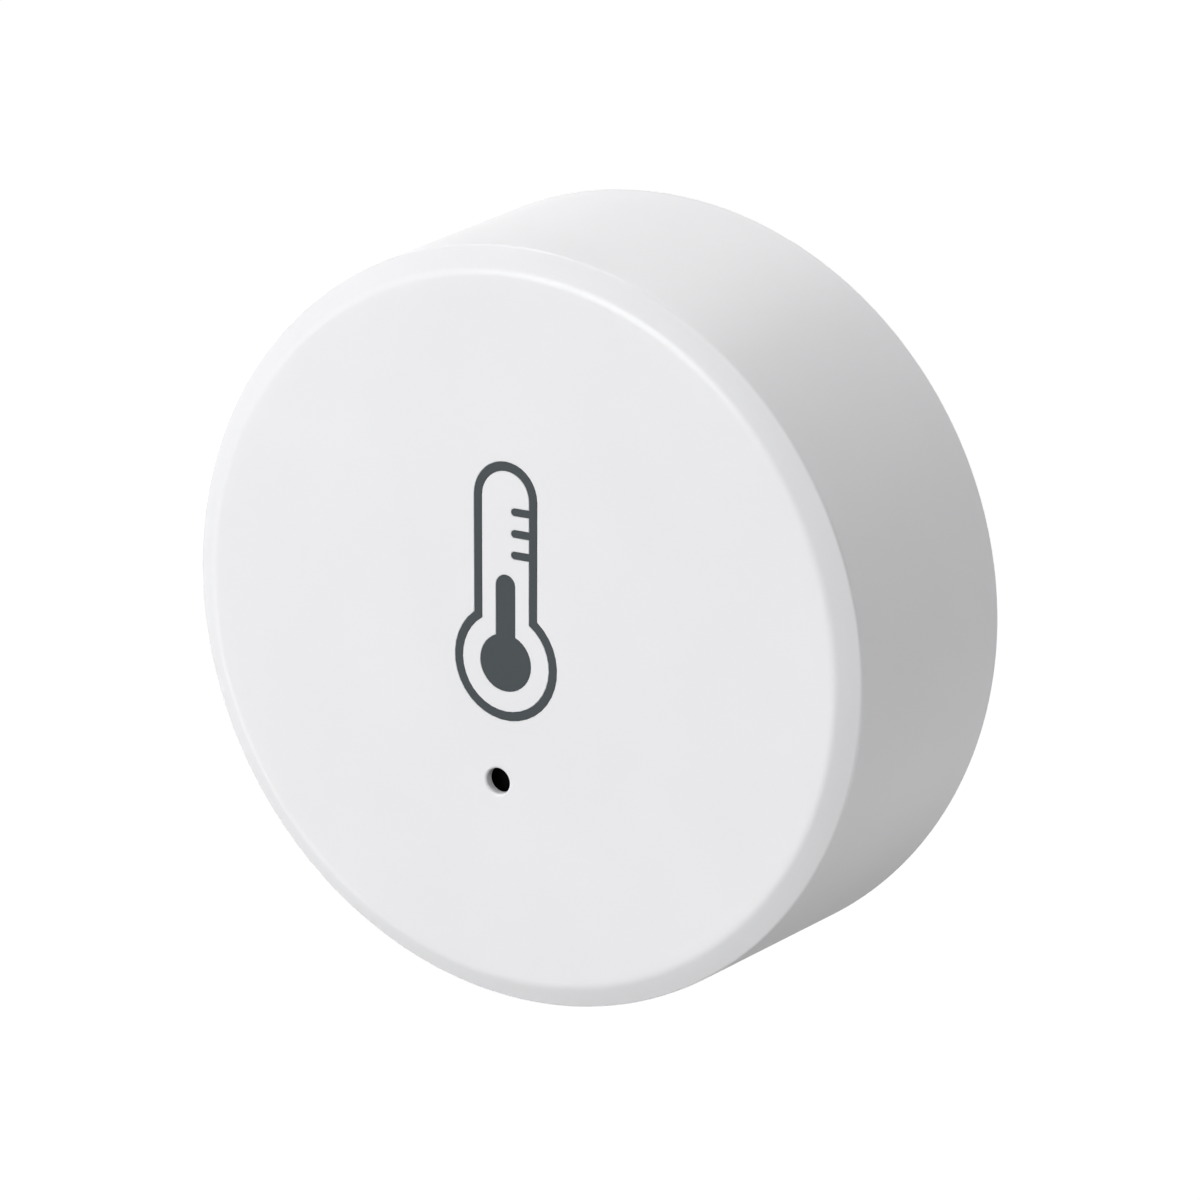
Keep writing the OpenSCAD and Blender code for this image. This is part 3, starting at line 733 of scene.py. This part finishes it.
def antenna():
    """Ceramic aerial with metal ends and a meandering conductor on top."""
    low, high = span("chip_antenna")
    bm = bmesh.new()
    chip(bm, low, high, 0, ANTENNA_CAP)
    start, end = low.x + ANTENNA_CAP, high.x - ANTENNA_CAP
    pitch = (end - start) / MEANDER_TURNS
    bottom, top = low.y + MEANDER_W, high.y - MEANDER_W
    base, skin = high.z - 2 * CHIP_SKIN, high.z
    for i in range(MEANDER_TURNS):
        x = start + (i + 0.5) * pitch
        run_low, run_high = (x - MEANDER_W / 2, bottom, base), (x + MEANDER_W / 2, top, skin)
        block(bm, run_low, run_high, CHIP_SKIN / 2, finish=1)
        if i == 0:
            continue
        y = bottom if i % 2 else top - MEANDER_W
        link_low, link_high = (x - pitch, y, base), (x, y + MEANDER_W, skin)
        block(bm, link_low, link_high, CHIP_SKIN / 2, finish=1)
    return new_piece("antenna", bm)


def shield_can():
    """Tin can over the radio: a frame, and a lid with a grid of small holes."""
    low, high = span("radio_shield")
    seam = low.z + (high.z - low.z) * (1 - SHIELD_LID)
    inset = Vector((SHIELD_INSET, SHIELD_INSET, 0))
    bm = bmesh.new()
    block(bm, low + inset, Vector((high.x, high.y, seam + SHIELD_EDGE_R)) - inset, SHIELD_INSET)
    block(bm, (low.x, low.y, seam), high, SHIELD_EDGE_R)
    can = new_piece("shield_can", bm)
    tool = bmesh.new()
    hole = [(SHIELD_HOLE_R, high.z - 2 * LEAD_T), (SHIELD_HOLE_R, high.z + PAST)]
    for i in range(SHIELD_HOLES[0]):
        for j in range(SHIELD_HOLES[1]):
            x = low.x + (high.x - low.x) * (i + 0.5) / SHIELD_HOLES[0]
            y = low.y + (high.y - low.y) * (j + 0.5) / SHIELD_HOLES[1]
            lathe(tool, hole, (x, y), COARSE)
    combine(can, "DIFFERENCE", tool)
    return can


def lamp_chip():
    """Status lamp: a white base with metal ends and a clear lens."""
    low, high = span("status_led")
    step = low.z + (high.z - low.z) * LAMP_STEP
    bm = bmesh.new()
    chip(bm, low, Vector((high.x, high.y, step)), 0, CHIP_CAP)
    lens_low = Vector((low.x + CHIP_CAP, low.y + CHIP_SKIN, step - 2 * CHIP_SKIN))
    lens_high = Vector((high.x - CHIP_CAP, high.y - CHIP_SKIN, high.z))
    block(bm, lens_low, lens_high, 2 * CHIP_EDGE_R, finish=2)
    return new_piece("lamp_chip", bm)


def fillet(bm, low, high, axis, side):
    """Solder with a hollow slope at one end of a chip, along across or up."""
    height = min(SOLDER_H, SOLDER_RISE * (high.z - low.z))
    slope = [(SOLDER_L * along / height, rise) for along, rise in quarter(height)]
    foot = high[axis] if side > 0 else low[axis]
    rings = []
    for edge in (low[1 - axis], high[1 - axis]):
        ring = []
        for along, rise in [(0, 0)] + slope:
            place = Vector((edge, edge, low.z + rise))
            place[axis] = foot + side * along
            ring.append(at(*place))
        rings.append(ring)
    solid(bm, rings)


def solder_joints():
    """Solder at the ends of the chips."""
    ends = [(low, high, 1) for low, high in row_boxes("capacitors") + row_boxes("resistors")]
    ends += [(*span(node), 0) for node in ("bulk_capacitor", "crystal", "inductor", "status_led")]
    bm = bmesh.new()
    for low, high, axis in ends:
        for side in (-1, 1):
            fillet(bm, low, high, axis, side)
    return new_piece("solder_joints", bm)


def module_pads():
    """Gold pads that wrap the edges of the radio module."""
    middle = (module_low.y + module_high.y) / 2
    bm = bmesh.new()
    for edge, inward in ((module_low.x, 1), (module_high.x, -1)):
        across = sorted((edge - inward * LAND_T, edge + inward * MODULE_PAD_W))
        for i in range(MODULE_PADS):
            y = middle + (i - (MODULE_PADS - 1) / 2) * MODULE_PITCH
            pad_foot = (across[0], y - MODULE_PAD_W / 2, module_low.z)
            pad_head = (across[1], y + MODULE_PAD_W / 2, module_high.z + LAND_T)
            block(bm, pad_foot, pad_head, LAND_T / 2)
    return new_piece("module_pads", bm)


def track(bm, start, bend, end, finish):
    """Flat track on the front of the board, in two straight runs that meet with a mitre."""
    first, second = (bend - start).normalized(), (end - bend).normalized()
    aside = Vector((-first.y, first.x)) * TRACK_W / 2
    end_aside = Vector((-second.y, second.x)) * TRACK_W / 2
    mitre = (aside + end_aside).normalized() * TRACK_W / 2 / math.cos(first.angle(second) / 2)
    corners = [start - aside, bend - mitre, end - end_aside, end + end_aside, bend + mitre, start + aside]
    levels = (board_high.z, board_high.z + LAND_T)
    solid(bm, [[at(*corner, out) for corner in corners] for out in levels], finish=finish)


def board_tracks():
    """Gold lands, test pads and vias (finish 0), and tracks from the module under the mask (finish 1)."""
    bm = bmesh.new()
    rear = (board_low.z - LAND_T, board_low.z)
    for angle in THREE:
        centre = polar(SCREW_RING, angle)
        outside = [circle(centre, LAND_R, out, COARSE) for out in rear]
        inside = [circle(centre, THREAD_R, out, COARSE) for out in rear]
        solid(bm, outside, inside)
    for angle in TEST_PAD_ANGLES:
        lathe(bm, [(TEST_PAD_R, out) for out in rear], polar(SCREW_RING, angle), COARSE)
    middle = (module_low.y + module_high.y) / 2
    for edge, outward in ((module_low.x, -1), (module_high.x, 1)):
        for i in range(MODULE_PADS):
            rank = i - (MODULE_PADS - 1) / 2
            start = Vector((edge, middle + rank * MODULE_PITCH))
            bend = start + Vector((outward * TRACK_RUN * (1 + i % 3 / 2), 0))
            lead = Vector((outward, math.copysign(1, rank))) * TRACK_RUN
            track(bm, start, bend, bend + lead, 1)
            via = [(VIA_R, board_high.z), (VIA_R, board_high.z + 2 * LAND_T)]
            lathe(bm, via, bend + lead, COARSE)
    return new_piece("board_tracks", bm)


def switch_stakes():
    """Melted stakes that hold the switch's frame on its base."""
    low, high = frame_high.z - 2 * STAKE_H, frame_high.z + STAKE_H
    dome = rounded([
        (STAKE_R / 2, low, 0),
        (STAKE_R, low, 0),
        (STAKE_R, high, STAKE_ROUND * STAKE_H),
        (STAKE_R / 2, high, 0),
    ])
    bm = bmesh.new()
    for x in (frame_low.x + STAKE_INSET, frame_high.x - STAKE_INSET):
        for y in (frame_low.y + STAKE_INSET, frame_high.y - STAKE_INSET):
            lathe(bm, dome, (x, y), COARSE)
    return new_piece("switch_stakes", bm)


# Detail of noise, and the levels between which it mostly lies
NOISE_DETAIL = 2.0
NOISE_RANGE = (0.3, 0.7)

# Sizes of the patterns in the materials, depths of their relief and spreads of their roughness
GRAIN_DEPTH = 0.0006 * MM
GRAIN_SPREAD = 0.03
STAIN = 3 * MM
ROLLED_GRAIN = 0.08 * MM
ROLLED_DEPTH = 0.0008 * MM
ROLLED_SPREAD = 0.06
MASK_CLOUD = 2 * MM
FACE_SLOPE = 0.5
WEAVE = 0.3 * MM
WEAVE_DEPTH = 0.003 * MM
WEAVE_ROUGHNESS = (0.25, 0.4)
FOAM_ROUGHNESS = 0.85
FOAM_SHEEN = 0.2


def linear(*levels):
    """Linear colour of sRGB levels from 0 to 255."""
    shares = [level / 255 for level in levels]
    return tuple(s / 12.92 if s <= 0.04045 else ((s + 0.055) / 1.055) ** 2.4 for s in shares)


def start_material(name):
    """New node material. Returns it with its tree, its shader and the place on it as a texture vector."""
    material = bpy.data.materials.new(name)
    material.use_nodes = True
    tree = material.node_tree
    place = tree.nodes.new("ShaderNodeTexCoord").outputs["Object"]
    return material, tree, tree.nodes["Principled BSDF"], place


def noise(tree, place, grain):
    """Noise whose lumps measure about a grain."""
    texture = tree.nodes.new("ShaderNodeTexNoise")
    texture.inputs["Scale"].default_value = 1 / grain
    texture.inputs["Detail"].default_value = NOISE_DETAIL
    tree.links.new(place, texture.inputs["Vector"])
    return texture.outputs["Fac"]


def map_range(tree, value, low, high):
    """Value of a noise, from where it mostly lies, stretched between two limits."""
    mapping = tree.nodes.new("ShaderNodeMapRange")
    mapping.inputs["From Min"].default_value, mapping.inputs["From Max"].default_value = NOISE_RANGE
    mapping.inputs["To Min"].default_value = low
    mapping.inputs["To Max"].default_value = high
    tree.links.new(value, mapping.inputs["Value"])
    return mapping.outputs["Result"]


def blend_colour(tree, value, dark, light):
    """Colour between two others, by a value from 0 to 1."""
    ramp = tree.nodes.new("ShaderNodeValToRGB")
    ramp.color_ramp.elements[0].color = (*dark, 1)
    ramp.color_ramp.elements[1].color = (*light, 1)
    tree.links.new(value, ramp.inputs["Fac"])
    return ramp.outputs["Color"]


def bump(tree, shader, height, depth):
    """Relief of a depth in metres on a shader's surface."""
    relief = tree.nodes.new("ShaderNodeBump")
    relief.inputs["Strength"].default_value = 1.0
    relief.inputs["Distance"].default_value = depth
    tree.links.new(height, relief.inputs["Height"])
    tree.links.new(relief.outputs["Normal"], shader.inputs["Normal"])


def grained(name, dark, light, roughness, specular=0.5, cloud=7 * MM, grain=0.1 * MM):
    """Plastic or ceramic with faint clouds in its colour and a fine grain."""
    material, tree, shader, place = start_material(name)
    tone = map_range(tree, noise(tree, place, cloud), 0, 1)
    tree.links.new(blend_colour(tree, tone, dark, light), shader.inputs["Base Color"])
    fine = noise(tree, place, grain)
    rough = map_range(tree, fine, roughness - GRAIN_SPREAD, roughness + GRAIN_SPREAD)
    tree.links.new(rough, shader.inputs["Roughness"])
    shader.inputs["Specular IOR Level"].default_value = specular
    bump(tree, shader, fine, GRAIN_DEPTH)
    return material


def metal(name, dark, light, roughness, stretch=12.0):
    """Rolled metal, with its grain drawn out upward and faint stains in its colour."""
    material, tree, shader, place = start_material(name)
    shader.inputs["Metallic"].default_value = 1.0
    tone = map_range(tree, noise(tree, place, STAIN), 0, 1)
    tree.links.new(blend_colour(tree, tone, dark, light), shader.inputs["Base Color"])
    drawn = tree.nodes.new("ShaderNodeMapping")
    drawn.inputs["Scale"].default_value = (1, 1, 1 / stretch)
    tree.links.new(place, drawn.inputs["Vector"])
    lines = noise(tree, drawn.outputs["Vector"], ROLLED_GRAIN)
    rough = map_range(tree, lines, roughness - ROLLED_SPREAD, roughness + ROLLED_SPREAD)
    tree.links.new(rough, shader.inputs["Roughness"])
    bump(tree, shader, lines, ROLLED_DEPTH)
    return material


def laminate(name, dark, light, edge):
    """Board with a coloured mask on its faces and bare fibre at its edge."""
    material, tree, shader, place = start_material(name)
    tone = map_range(tree, noise(tree, place, MASK_CLOUD), 0, 1)
    mask = blend_colour(tree, tone, dark, light)
    axes = tree.nodes.new("ShaderNodeSeparateXYZ")
    tree.links.new(tree.nodes.new("ShaderNodeTexCoord").outputs["Normal"], axes.inputs[0])
    facing = tree.nodes.new("ShaderNodeMath")
    facing.operation = "ABSOLUTE"
    tree.links.new(axes.outputs["Y"], facing.inputs[0])
    on_face = tree.nodes.new("ShaderNodeMath")
    on_face.operation = "GREATER_THAN"
    on_face.inputs[1].default_value = FACE_SLOPE
    tree.links.new(facing.outputs[0], on_face.inputs[0])
    colour = tree.nodes.new("ShaderNodeMix")
    colour.data_type = "RGBA"
    colour.inputs["A"].default_value = (*edge, 1)
    tree.links.new(on_face.outputs[0], colour.inputs["Factor"])
    tree.links.new(mask, colour.inputs["B"])
    tree.links.new(colour.outputs["Result"], shader.inputs["Base Color"])
    weave = noise(tree, place, WEAVE)
    tree.links.new(map_range(tree, weave, *WEAVE_ROUGHNESS), shader.inputs["Roughness"])
    bump(tree, shader, weave, WEAVE_DEPTH)
    return material


def foam(name, dark, light, cell):
    """Closed-cell foam, with a cut through its bubbles, darker down in each bubble: painted shade in the
    pits.
    """
    material, tree, shader, place = start_material(name)
    bubbles = tree.nodes.new("ShaderNodeTexVoronoi")
    bubbles.inputs["Scale"].default_value = 1 / cell
    tree.links.new(place, bubbles.inputs["Vector"])
    depth = bubbles.outputs["Distance"]
    # Painted shade: the colour is darker where each bubble's pit is deepest
    tree.links.new(blend_colour(tree, depth, dark, light), shader.inputs["Base Color"])
    shader.inputs["Roughness"].default_value = FOAM_ROUGHNESS
    shader.inputs["Specular IOR Level"].default_value = FOAM_SHEEN
    bump(tree, shader, depth, cell / 2)
    return material


white_plastic = grained("white_plastic", linear(230, 230, 232), linear(232, 232, 234), 0.35)
cover_plastic = grained("cover_plastic", linear(226, 226, 227), linear(229, 229, 230), 0.42)
grey_ink = grained("grey_ink", linear(64, 70, 73), linear(67, 73, 76), 0.5, 0.15)
black_plastic = grained("black_plastic", linear(26, 26, 28), linear(33, 33, 35), 0.45)
# The plunger is a black part, and it is far darker and duller than the black plastic: painted shade of the
# pin hole in front of it
plunger_black_and_hole_shade = grained("plunger_black_and_hole_shade", linear(2, 2, 2), linear(5, 5, 5), 0.8, 0.05)
chip_epoxy = grained("chip_epoxy", linear(28, 28, 30), linear(38, 38, 40), 0.55, cloud=0.6 * MM)
pale_foam = foam("pale_foam", linear(176, 177, 178), linear(222, 222, 222), 0.16 * MM)
film = grained("adhesive_film", linear(212, 212, 209), linear(220, 220, 217), 0.24, cloud=2.5 * MM)
tan_ceramic = grained("tan_ceramic", linear(164, 132, 98), linear(182, 150, 114), 0.4, cloud=0.5 * MM)
white_ceramic = grained("white_ceramic", linear(222, 220, 214), linear(232, 230, 225), 0.4, cloud=0.8 * MM)
ferrite = grained("ferrite", linear(64, 64, 66), linear(82, 82, 84), 0.5, cloud=0.4 * MM, grain=0.06 * MM)
yellow_resin = grained("yellow_resin", linear(214, 164, 52), linear(226, 178, 66), 0.4, cloud=1.5 * MM)
brown_stripe = grained("brown_stripe", linear(104, 58, 28), linear(118, 68, 34), 0.4, cloud=0.5 * MM)
lens_resin = grained("lens_resin", linear(232, 226, 186), linear(240, 234, 200), 0.15, cloud=0.5 * MM)
cell_paste = grained("cell_paste", linear(48, 46, 46), linear(72, 70, 68), 0.9, 0.2, cloud=0.5 * MM)
green_board = laminate("green_board", linear(16, 84, 48), linear(22, 98, 58), linear(172, 160, 110))
green_module = laminate("green_module", linear(14, 62, 44), linear(18, 74, 52), linear(172, 160, 110))
green_track = grained("green_track", linear(34, 120, 74), linear(40, 132, 82), 0.3, cloud=1 * MM)
tin = metal("tin", linear(196, 196, 194), linear(216, 216, 214), 0.32)
screw_zinc = metal("screw_zinc", linear(168, 170, 172), linear(192, 194, 196), 0.34, stretch=1.0)
cell_nickel = metal("cell_nickel", linear(196, 196, 194), linear(204, 204, 202), 0.28)
brass = metal("brass", linear(198, 164, 92), linear(214, 182, 110), 0.3)
gold = metal("gold", linear(222, 184, 104), linear(234, 200, 124), 0.25)
copper = metal("copper", linear(186, 104, 66), linear(206, 124, 82), 0.3, stretch=1.0)

BODY = "sensor_body"
PIECES = [
    (front_shell(), BODY, "shell_white", [white_plastic], ["front_shell"]),
    (symbol_inlay(), BODY, "symbol_grey", [grey_ink], ["thermometer_symbol"]),
    (rear_cover(), "wall_base", "cover_white", [cover_plastic], ["rear_cover"]),
    (foam_pad(), "wall_base", "foam_pad", [pale_foam, film], ["adhesive_pad"]),
    (plunger(), "reset_button", "plunger_black", [plunger_black_and_hole_shade], ["reset_plunger"]),
    (screws(), BODY, "screw_steel", [screw_zinc], ["board_screws"]),
    (chip_capacitors(), BODY, "ceramic_tan", [tan_ceramic, tin], ["capacitors"]),
    (chip_resistors(), BODY, "ceramic_white", [white_ceramic, tin, chip_epoxy], ["resistors"]),
    (tantalum(), BODY, "capacitor_yellow", [yellow_resin, tin, brown_stripe], ["bulk_capacitor"]),
    (crystal_can(), BODY, "tin_can", [white_ceramic, tin], ["crystal"]),
    (wound_inductor(), BODY, "ferrite_grey", [ferrite, copper], ["inductor"]),
    (antenna(), BODY, "ceramic_white", [white_ceramic, tin], ["chip_antenna"]),
    (shield_can(), BODY, "tin_can", [tin], ["radio_shield"]),
    (lamp_chip(), BODY, "led_cream", [white_ceramic, tin, lens_resin], ["status_led"]),
    (solder_joints(), BODY, "tin_can", [tin], []),
    (module_pads(), BODY, "contact_brass", [gold], []),
    (board_tracks(), BODY, "contact_brass", [gold, green_track], []),
    (switch_stakes(), BODY, "switch_black", [black_plastic], []),
]
for piece, body, slot, finishes, nodes in PIECES:
    for finish in finishes:
        piece.data.materials.append(finish)
    smooth(piece)
    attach(piece, body)
    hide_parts(*nodes)

# Nodes of the frame whose shape is right, with their finish and the radius of their edges
CARRIED = {
    "circuit_board": (green_board, 0.08 * MM),
    "radio_module": (green_module, 0.05 * MM),
    "sensor_chip": (chip_epoxy, 0.05 * MM),
    "switch_base": (black_plastic, 0.1 * MM),
    "switch_frame": (tin, 0.05 * MM),
    "switch_dome": (tin, 0.03 * MM),
    "switch_terminals": (tin, 0.03 * MM),
    "cell_holder": (black_plastic, 0.12 * MM),
    "positive_contact": (brass, 0.05 * MM),
    "negative_contact": (brass, 0.05 * MM),
    "cell_can": (cell_nickel, 0.12 * MM),
    "cell_cap": (cell_nickel, 0.1 * MM),
    "cell_seal": (black_plastic, 0.05 * MM),
    "cell_core": (cell_paste, 0.05 * MM),
}
for name, (finish, edge_r) in CARRIED.items():
    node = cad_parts[name]
    node.data.materials.clear()
    node.data.materials.append(finish)
    soften(node, edge_r)

# Camera as in the photograph, with the face centre at a pixel of its 1200 x 1200 frame
IMAGE = 1200
FOCAL_PX = 3171
SENSOR = 36.0
VIEW_AZIMUTH = 31.54
VIEW_ELEVATION = 16.48
VIEW_ROLL = 0.44
VIEW_DISTANCE = 161.0 * MM
FACE_PIXEL = (505.4, 637.5)


def toward(azimuth, elevation):
    """Direction from the sensor to where one stands at an azimuth and an elevation in degrees."""
    azimuth, elevation = math.radians(azimuth), math.radians(elevation)
    level = math.cos(elevation)
    return Vector((math.sin(azimuth) * level, -math.cos(azimuth) * level, math.sin(elevation)))


def photo_camera():
    """Camera at the photograph's angle, distance and framing."""
    back = toward(VIEW_AZIMUTH, VIEW_ELEVATION)
    right = Matrix.Rotation(math.radians(VIEW_ROLL), 3, back) @ toward(VIEW_AZIMUTH + 90, 0)
    up = back.cross(right)
    per_pixel = VIEW_DISTANCE / FOCAL_PX
    aside = right * (FACE_PIXEL[0] - IMAGE / 2) - up * (FACE_PIXEL[1] - IMAGE / 2)
    eye = at(0, 0, FRONT) + back * VIEW_DISTANCE - aside * per_pixel
    camera = bpy.data.objects.new("camera", bpy.data.cameras.new("camera"))
    camera.data.sensor_width = SENSOR
    camera.data.lens = FOCAL_PX * SENSOR / IMAGE
    camera.data.clip_start = 1 * MM
    axes = Matrix((right, up, back)).transposed().to_4x4()
    camera.matrix_world = Matrix.Translation(eye) @ axes
    bpy.context.scene.collection.objects.link(camera)
    bpy.context.scene.camera = camera


def seen_directly(tree):
    """1 for rays from the camera and for mirror and glass rays, 0 for the light that falls on surfaces."""
    path = tree.nodes.new("ShaderNodeLightPath")
    total = path.outputs["Is Camera Ray"]
    for ray in ("Is Glossy Ray", "Is Transmission Ray"):
        either = tree.nodes.new("ShaderNodeMath")
        either.operation = "MAXIMUM"
        tree.links.new(total, either.inputs[0])
        tree.links.new(path.outputs[ray], either.inputs[1])
        total = either.outputs[0]
    return total


AMBIENT = 0.15


def white_world():
    """World that looks white and lights the sensor softly from all around."""
    world = bpy.data.worlds.new("studio")
    bpy.context.scene.world = world
    world.use_nodes = True
    tree = world.node_tree
    ambient = tree.nodes["Background"]
    ambient.inputs["Strength"].default_value = AMBIENT
    ambient.inputs["Color"].default_value = (1, 1, 1, 1)
    white = tree.nodes.new("ShaderNodeBackground")
    white.inputs["Color"].default_value = (1, 1, 1, 1)
    white.inputs["Strength"].default_value = 1.0
    mix = tree.nodes.new("ShaderNodeMixShader")
    tree.links.new(seen_directly(tree), mix.inputs["Fac"])
    tree.links.new(ambient.outputs[0], mix.inputs[1])
    tree.links.new(white.outputs[0], mix.inputs[2])
    tree.links.new(mix.outputs[0], tree.nodes["World Output"].inputs["Surface"])


FLOOR_SIZE = 16.0
FLOOR_DROP = 600 * MM
FLOOR_GLOW = 0.95
FLOOR_GREY = 0.5
# Soft dark oval on the floor, turned by degrees. Mirror rays alone meet it, so it shades the lower right of
# the side, which the camera sees at a flat angle
SHADE_DEPTH = 0.9
SHADE_PLACE = (-0.44, 1.04)
SHADE_TURN = 133
SHADE_HALF = (0.92, 0.6)
SHADE_CORE = 0.3


def floor_glow(tree, glow):
    """Sets the floor's glow: even, but dimmed inside the oval where a mirror ray meets the floor."""
    place = tree.nodes.new("ShaderNodeNewGeometry")
    oval = tree.nodes.new("ShaderNodeMapping")
    oval.vector_type = "TEXTURE"
    oval.inputs["Location"].default_value = (*SHADE_PLACE, -FLOOR_DROP)
    oval.inputs["Rotation"].default_value = (0, 0, math.radians(SHADE_TURN))
    oval.inputs["Scale"].default_value = (*SHADE_HALF, 1)
    tree.links.new(place.outputs["Position"], oval.inputs["Vector"])
    away = tree.nodes.new("ShaderNodeVectorMath")
    away.operation = "LENGTH"
    tree.links.new(oval.outputs[0], away.inputs[0])
    fade = tree.nodes.new("ShaderNodeMapRange")
    fade.interpolation_type = "SMOOTHSTEP"
    fade.inputs["From Min"].default_value = SHADE_CORE
    fade.inputs["From Max"].default_value = 1.0
    fade.inputs["To Min"].default_value = SHADE_DEPTH
    fade.inputs["To Max"].default_value = 0.0
    tree.links.new(away.outputs["Value"], fade.inputs["Value"])
    mirrored = tree.nodes.new("ShaderNodeMath")
    mirrored.operation = "MULTIPLY"
    tree.links.new(fade.outputs[0], mirrored.inputs[0])
    tree.links.new(tree.nodes.new("ShaderNodeLightPath").outputs["Is Glossy Ray"], mirrored.inputs[1])
    dimmed = tree.nodes.new("ShaderNodeMath")
    dimmed.operation = "MULTIPLY_ADD"
    dimmed.inputs[1].default_value = -FLOOR_GLOW
    dimmed.inputs[2].default_value = FLOOR_GLOW
    tree.links.new(mirrored.outputs[0], dimmed.inputs[0])
    tree.links.new(dimmed.outputs[0], glow.inputs["Strength"])


def pale_floor():
    """Plain pale floor well below the sensor, which hangs on its wall mount."""
    bm = bmesh.new()
    bmesh.ops.create_grid(bm, x_segments=1, y_segments=1, size=FLOOR_SIZE / 2)
    bmesh.ops.translate(bm, verts=bm.verts, vec=(0, 0, -FLOOR_DROP))
    floor = new_piece("floor", bm)
    material = bpy.data.materials.new("pale_floor")
    material.use_nodes = True
    tree = material.node_tree
    tree.nodes.remove(tree.nodes["Principled BSDF"])
    matt = tree.nodes.new("ShaderNodeBsdfDiffuse")
    matt.inputs["Color"].default_value = (FLOOR_GREY, FLOOR_GREY, FLOOR_GREY, 1)
    glow = tree.nodes.new("ShaderNodeEmission")
    floor_glow(tree, glow)
    both = tree.nodes.new("ShaderNodeAddShader")
    tree.links.new(matt.outputs[0], both.inputs[0])
    tree.links.new(glow.outputs[0], both.inputs[1])
    mix = tree.nodes.new("ShaderNodeMixShader")
    tree.links.new(seen_directly(tree), mix.inputs["Fac"])
    tree.links.new(matt.outputs[0], mix.inputs[1])
    tree.links.new(both.outputs[0], mix.inputs[2])
    tree.links.new(mix.outputs[0], tree.nodes["Material Output"].inputs["Surface"])
    floor.data.materials.append(material)


# Soft lamps: azimuth and elevation in degrees, width and height, and power
LAMP_DISTANCE = 0.5
LAMP_SPREAD = 60
LAMPS = {
    "front": (-20, 10, 0.2, 0.14, 0.106),
    "front_left": (-45, 0, 0.25, 0.25, 0.05),
    "front_low": (-9, -30, 0.25, 0.25, 0.084),
    "left_low": (-60, -30, 0.25, 0.25, 0.049),
    "front_high": (-60, 60, 0.25, 0.25, 0.131),
    "left": (-120, 0, 0.25, 0.25, 0.054),
    "right_high": (53, 45, 0.25, 0.25, 0.074),
    "right_low": (111, -30, 0.25, 0.25, 0.105),
    "rear_high": (180, 60, 0.25, 0.25, 0.11),
    "rear": (180, 0, 0.25, 0.25, 0.173),
}


def soft_lamp(name, azimuth, elevation, width, height, power):
    """Lamp that shines on the sensor from a direction."""
    light = bpy.data.lights.new(name, "AREA")
    light.shape = "RECTANGLE"
    light.size = width
    light.size_y = height
    light.energy = power
    light.spread = math.radians(LAMP_SPREAD)
    lamp = bpy.data.objects.new(name, light)
    direction = toward(azimuth, elevation)
    lamp.location = direction * LAMP_DISTANCE
    lamp.rotation_euler = direction.to_track_quat("Z", "Y").to_euler()
    bpy.context.scene.collection.objects.link(lamp)
    return lamp


photo_camera()
white_world()
pale_floor()
lamps = {name: soft_lamp(name, *values) for name, values in LAMPS.items()}
# The rear lamp stays out of mirror rays, so that pale surfaces seen from behind keep their tone
lamps["rear"].visible_glossy = False
bpy.context.scene.view_settings.view_transform = "Standard"
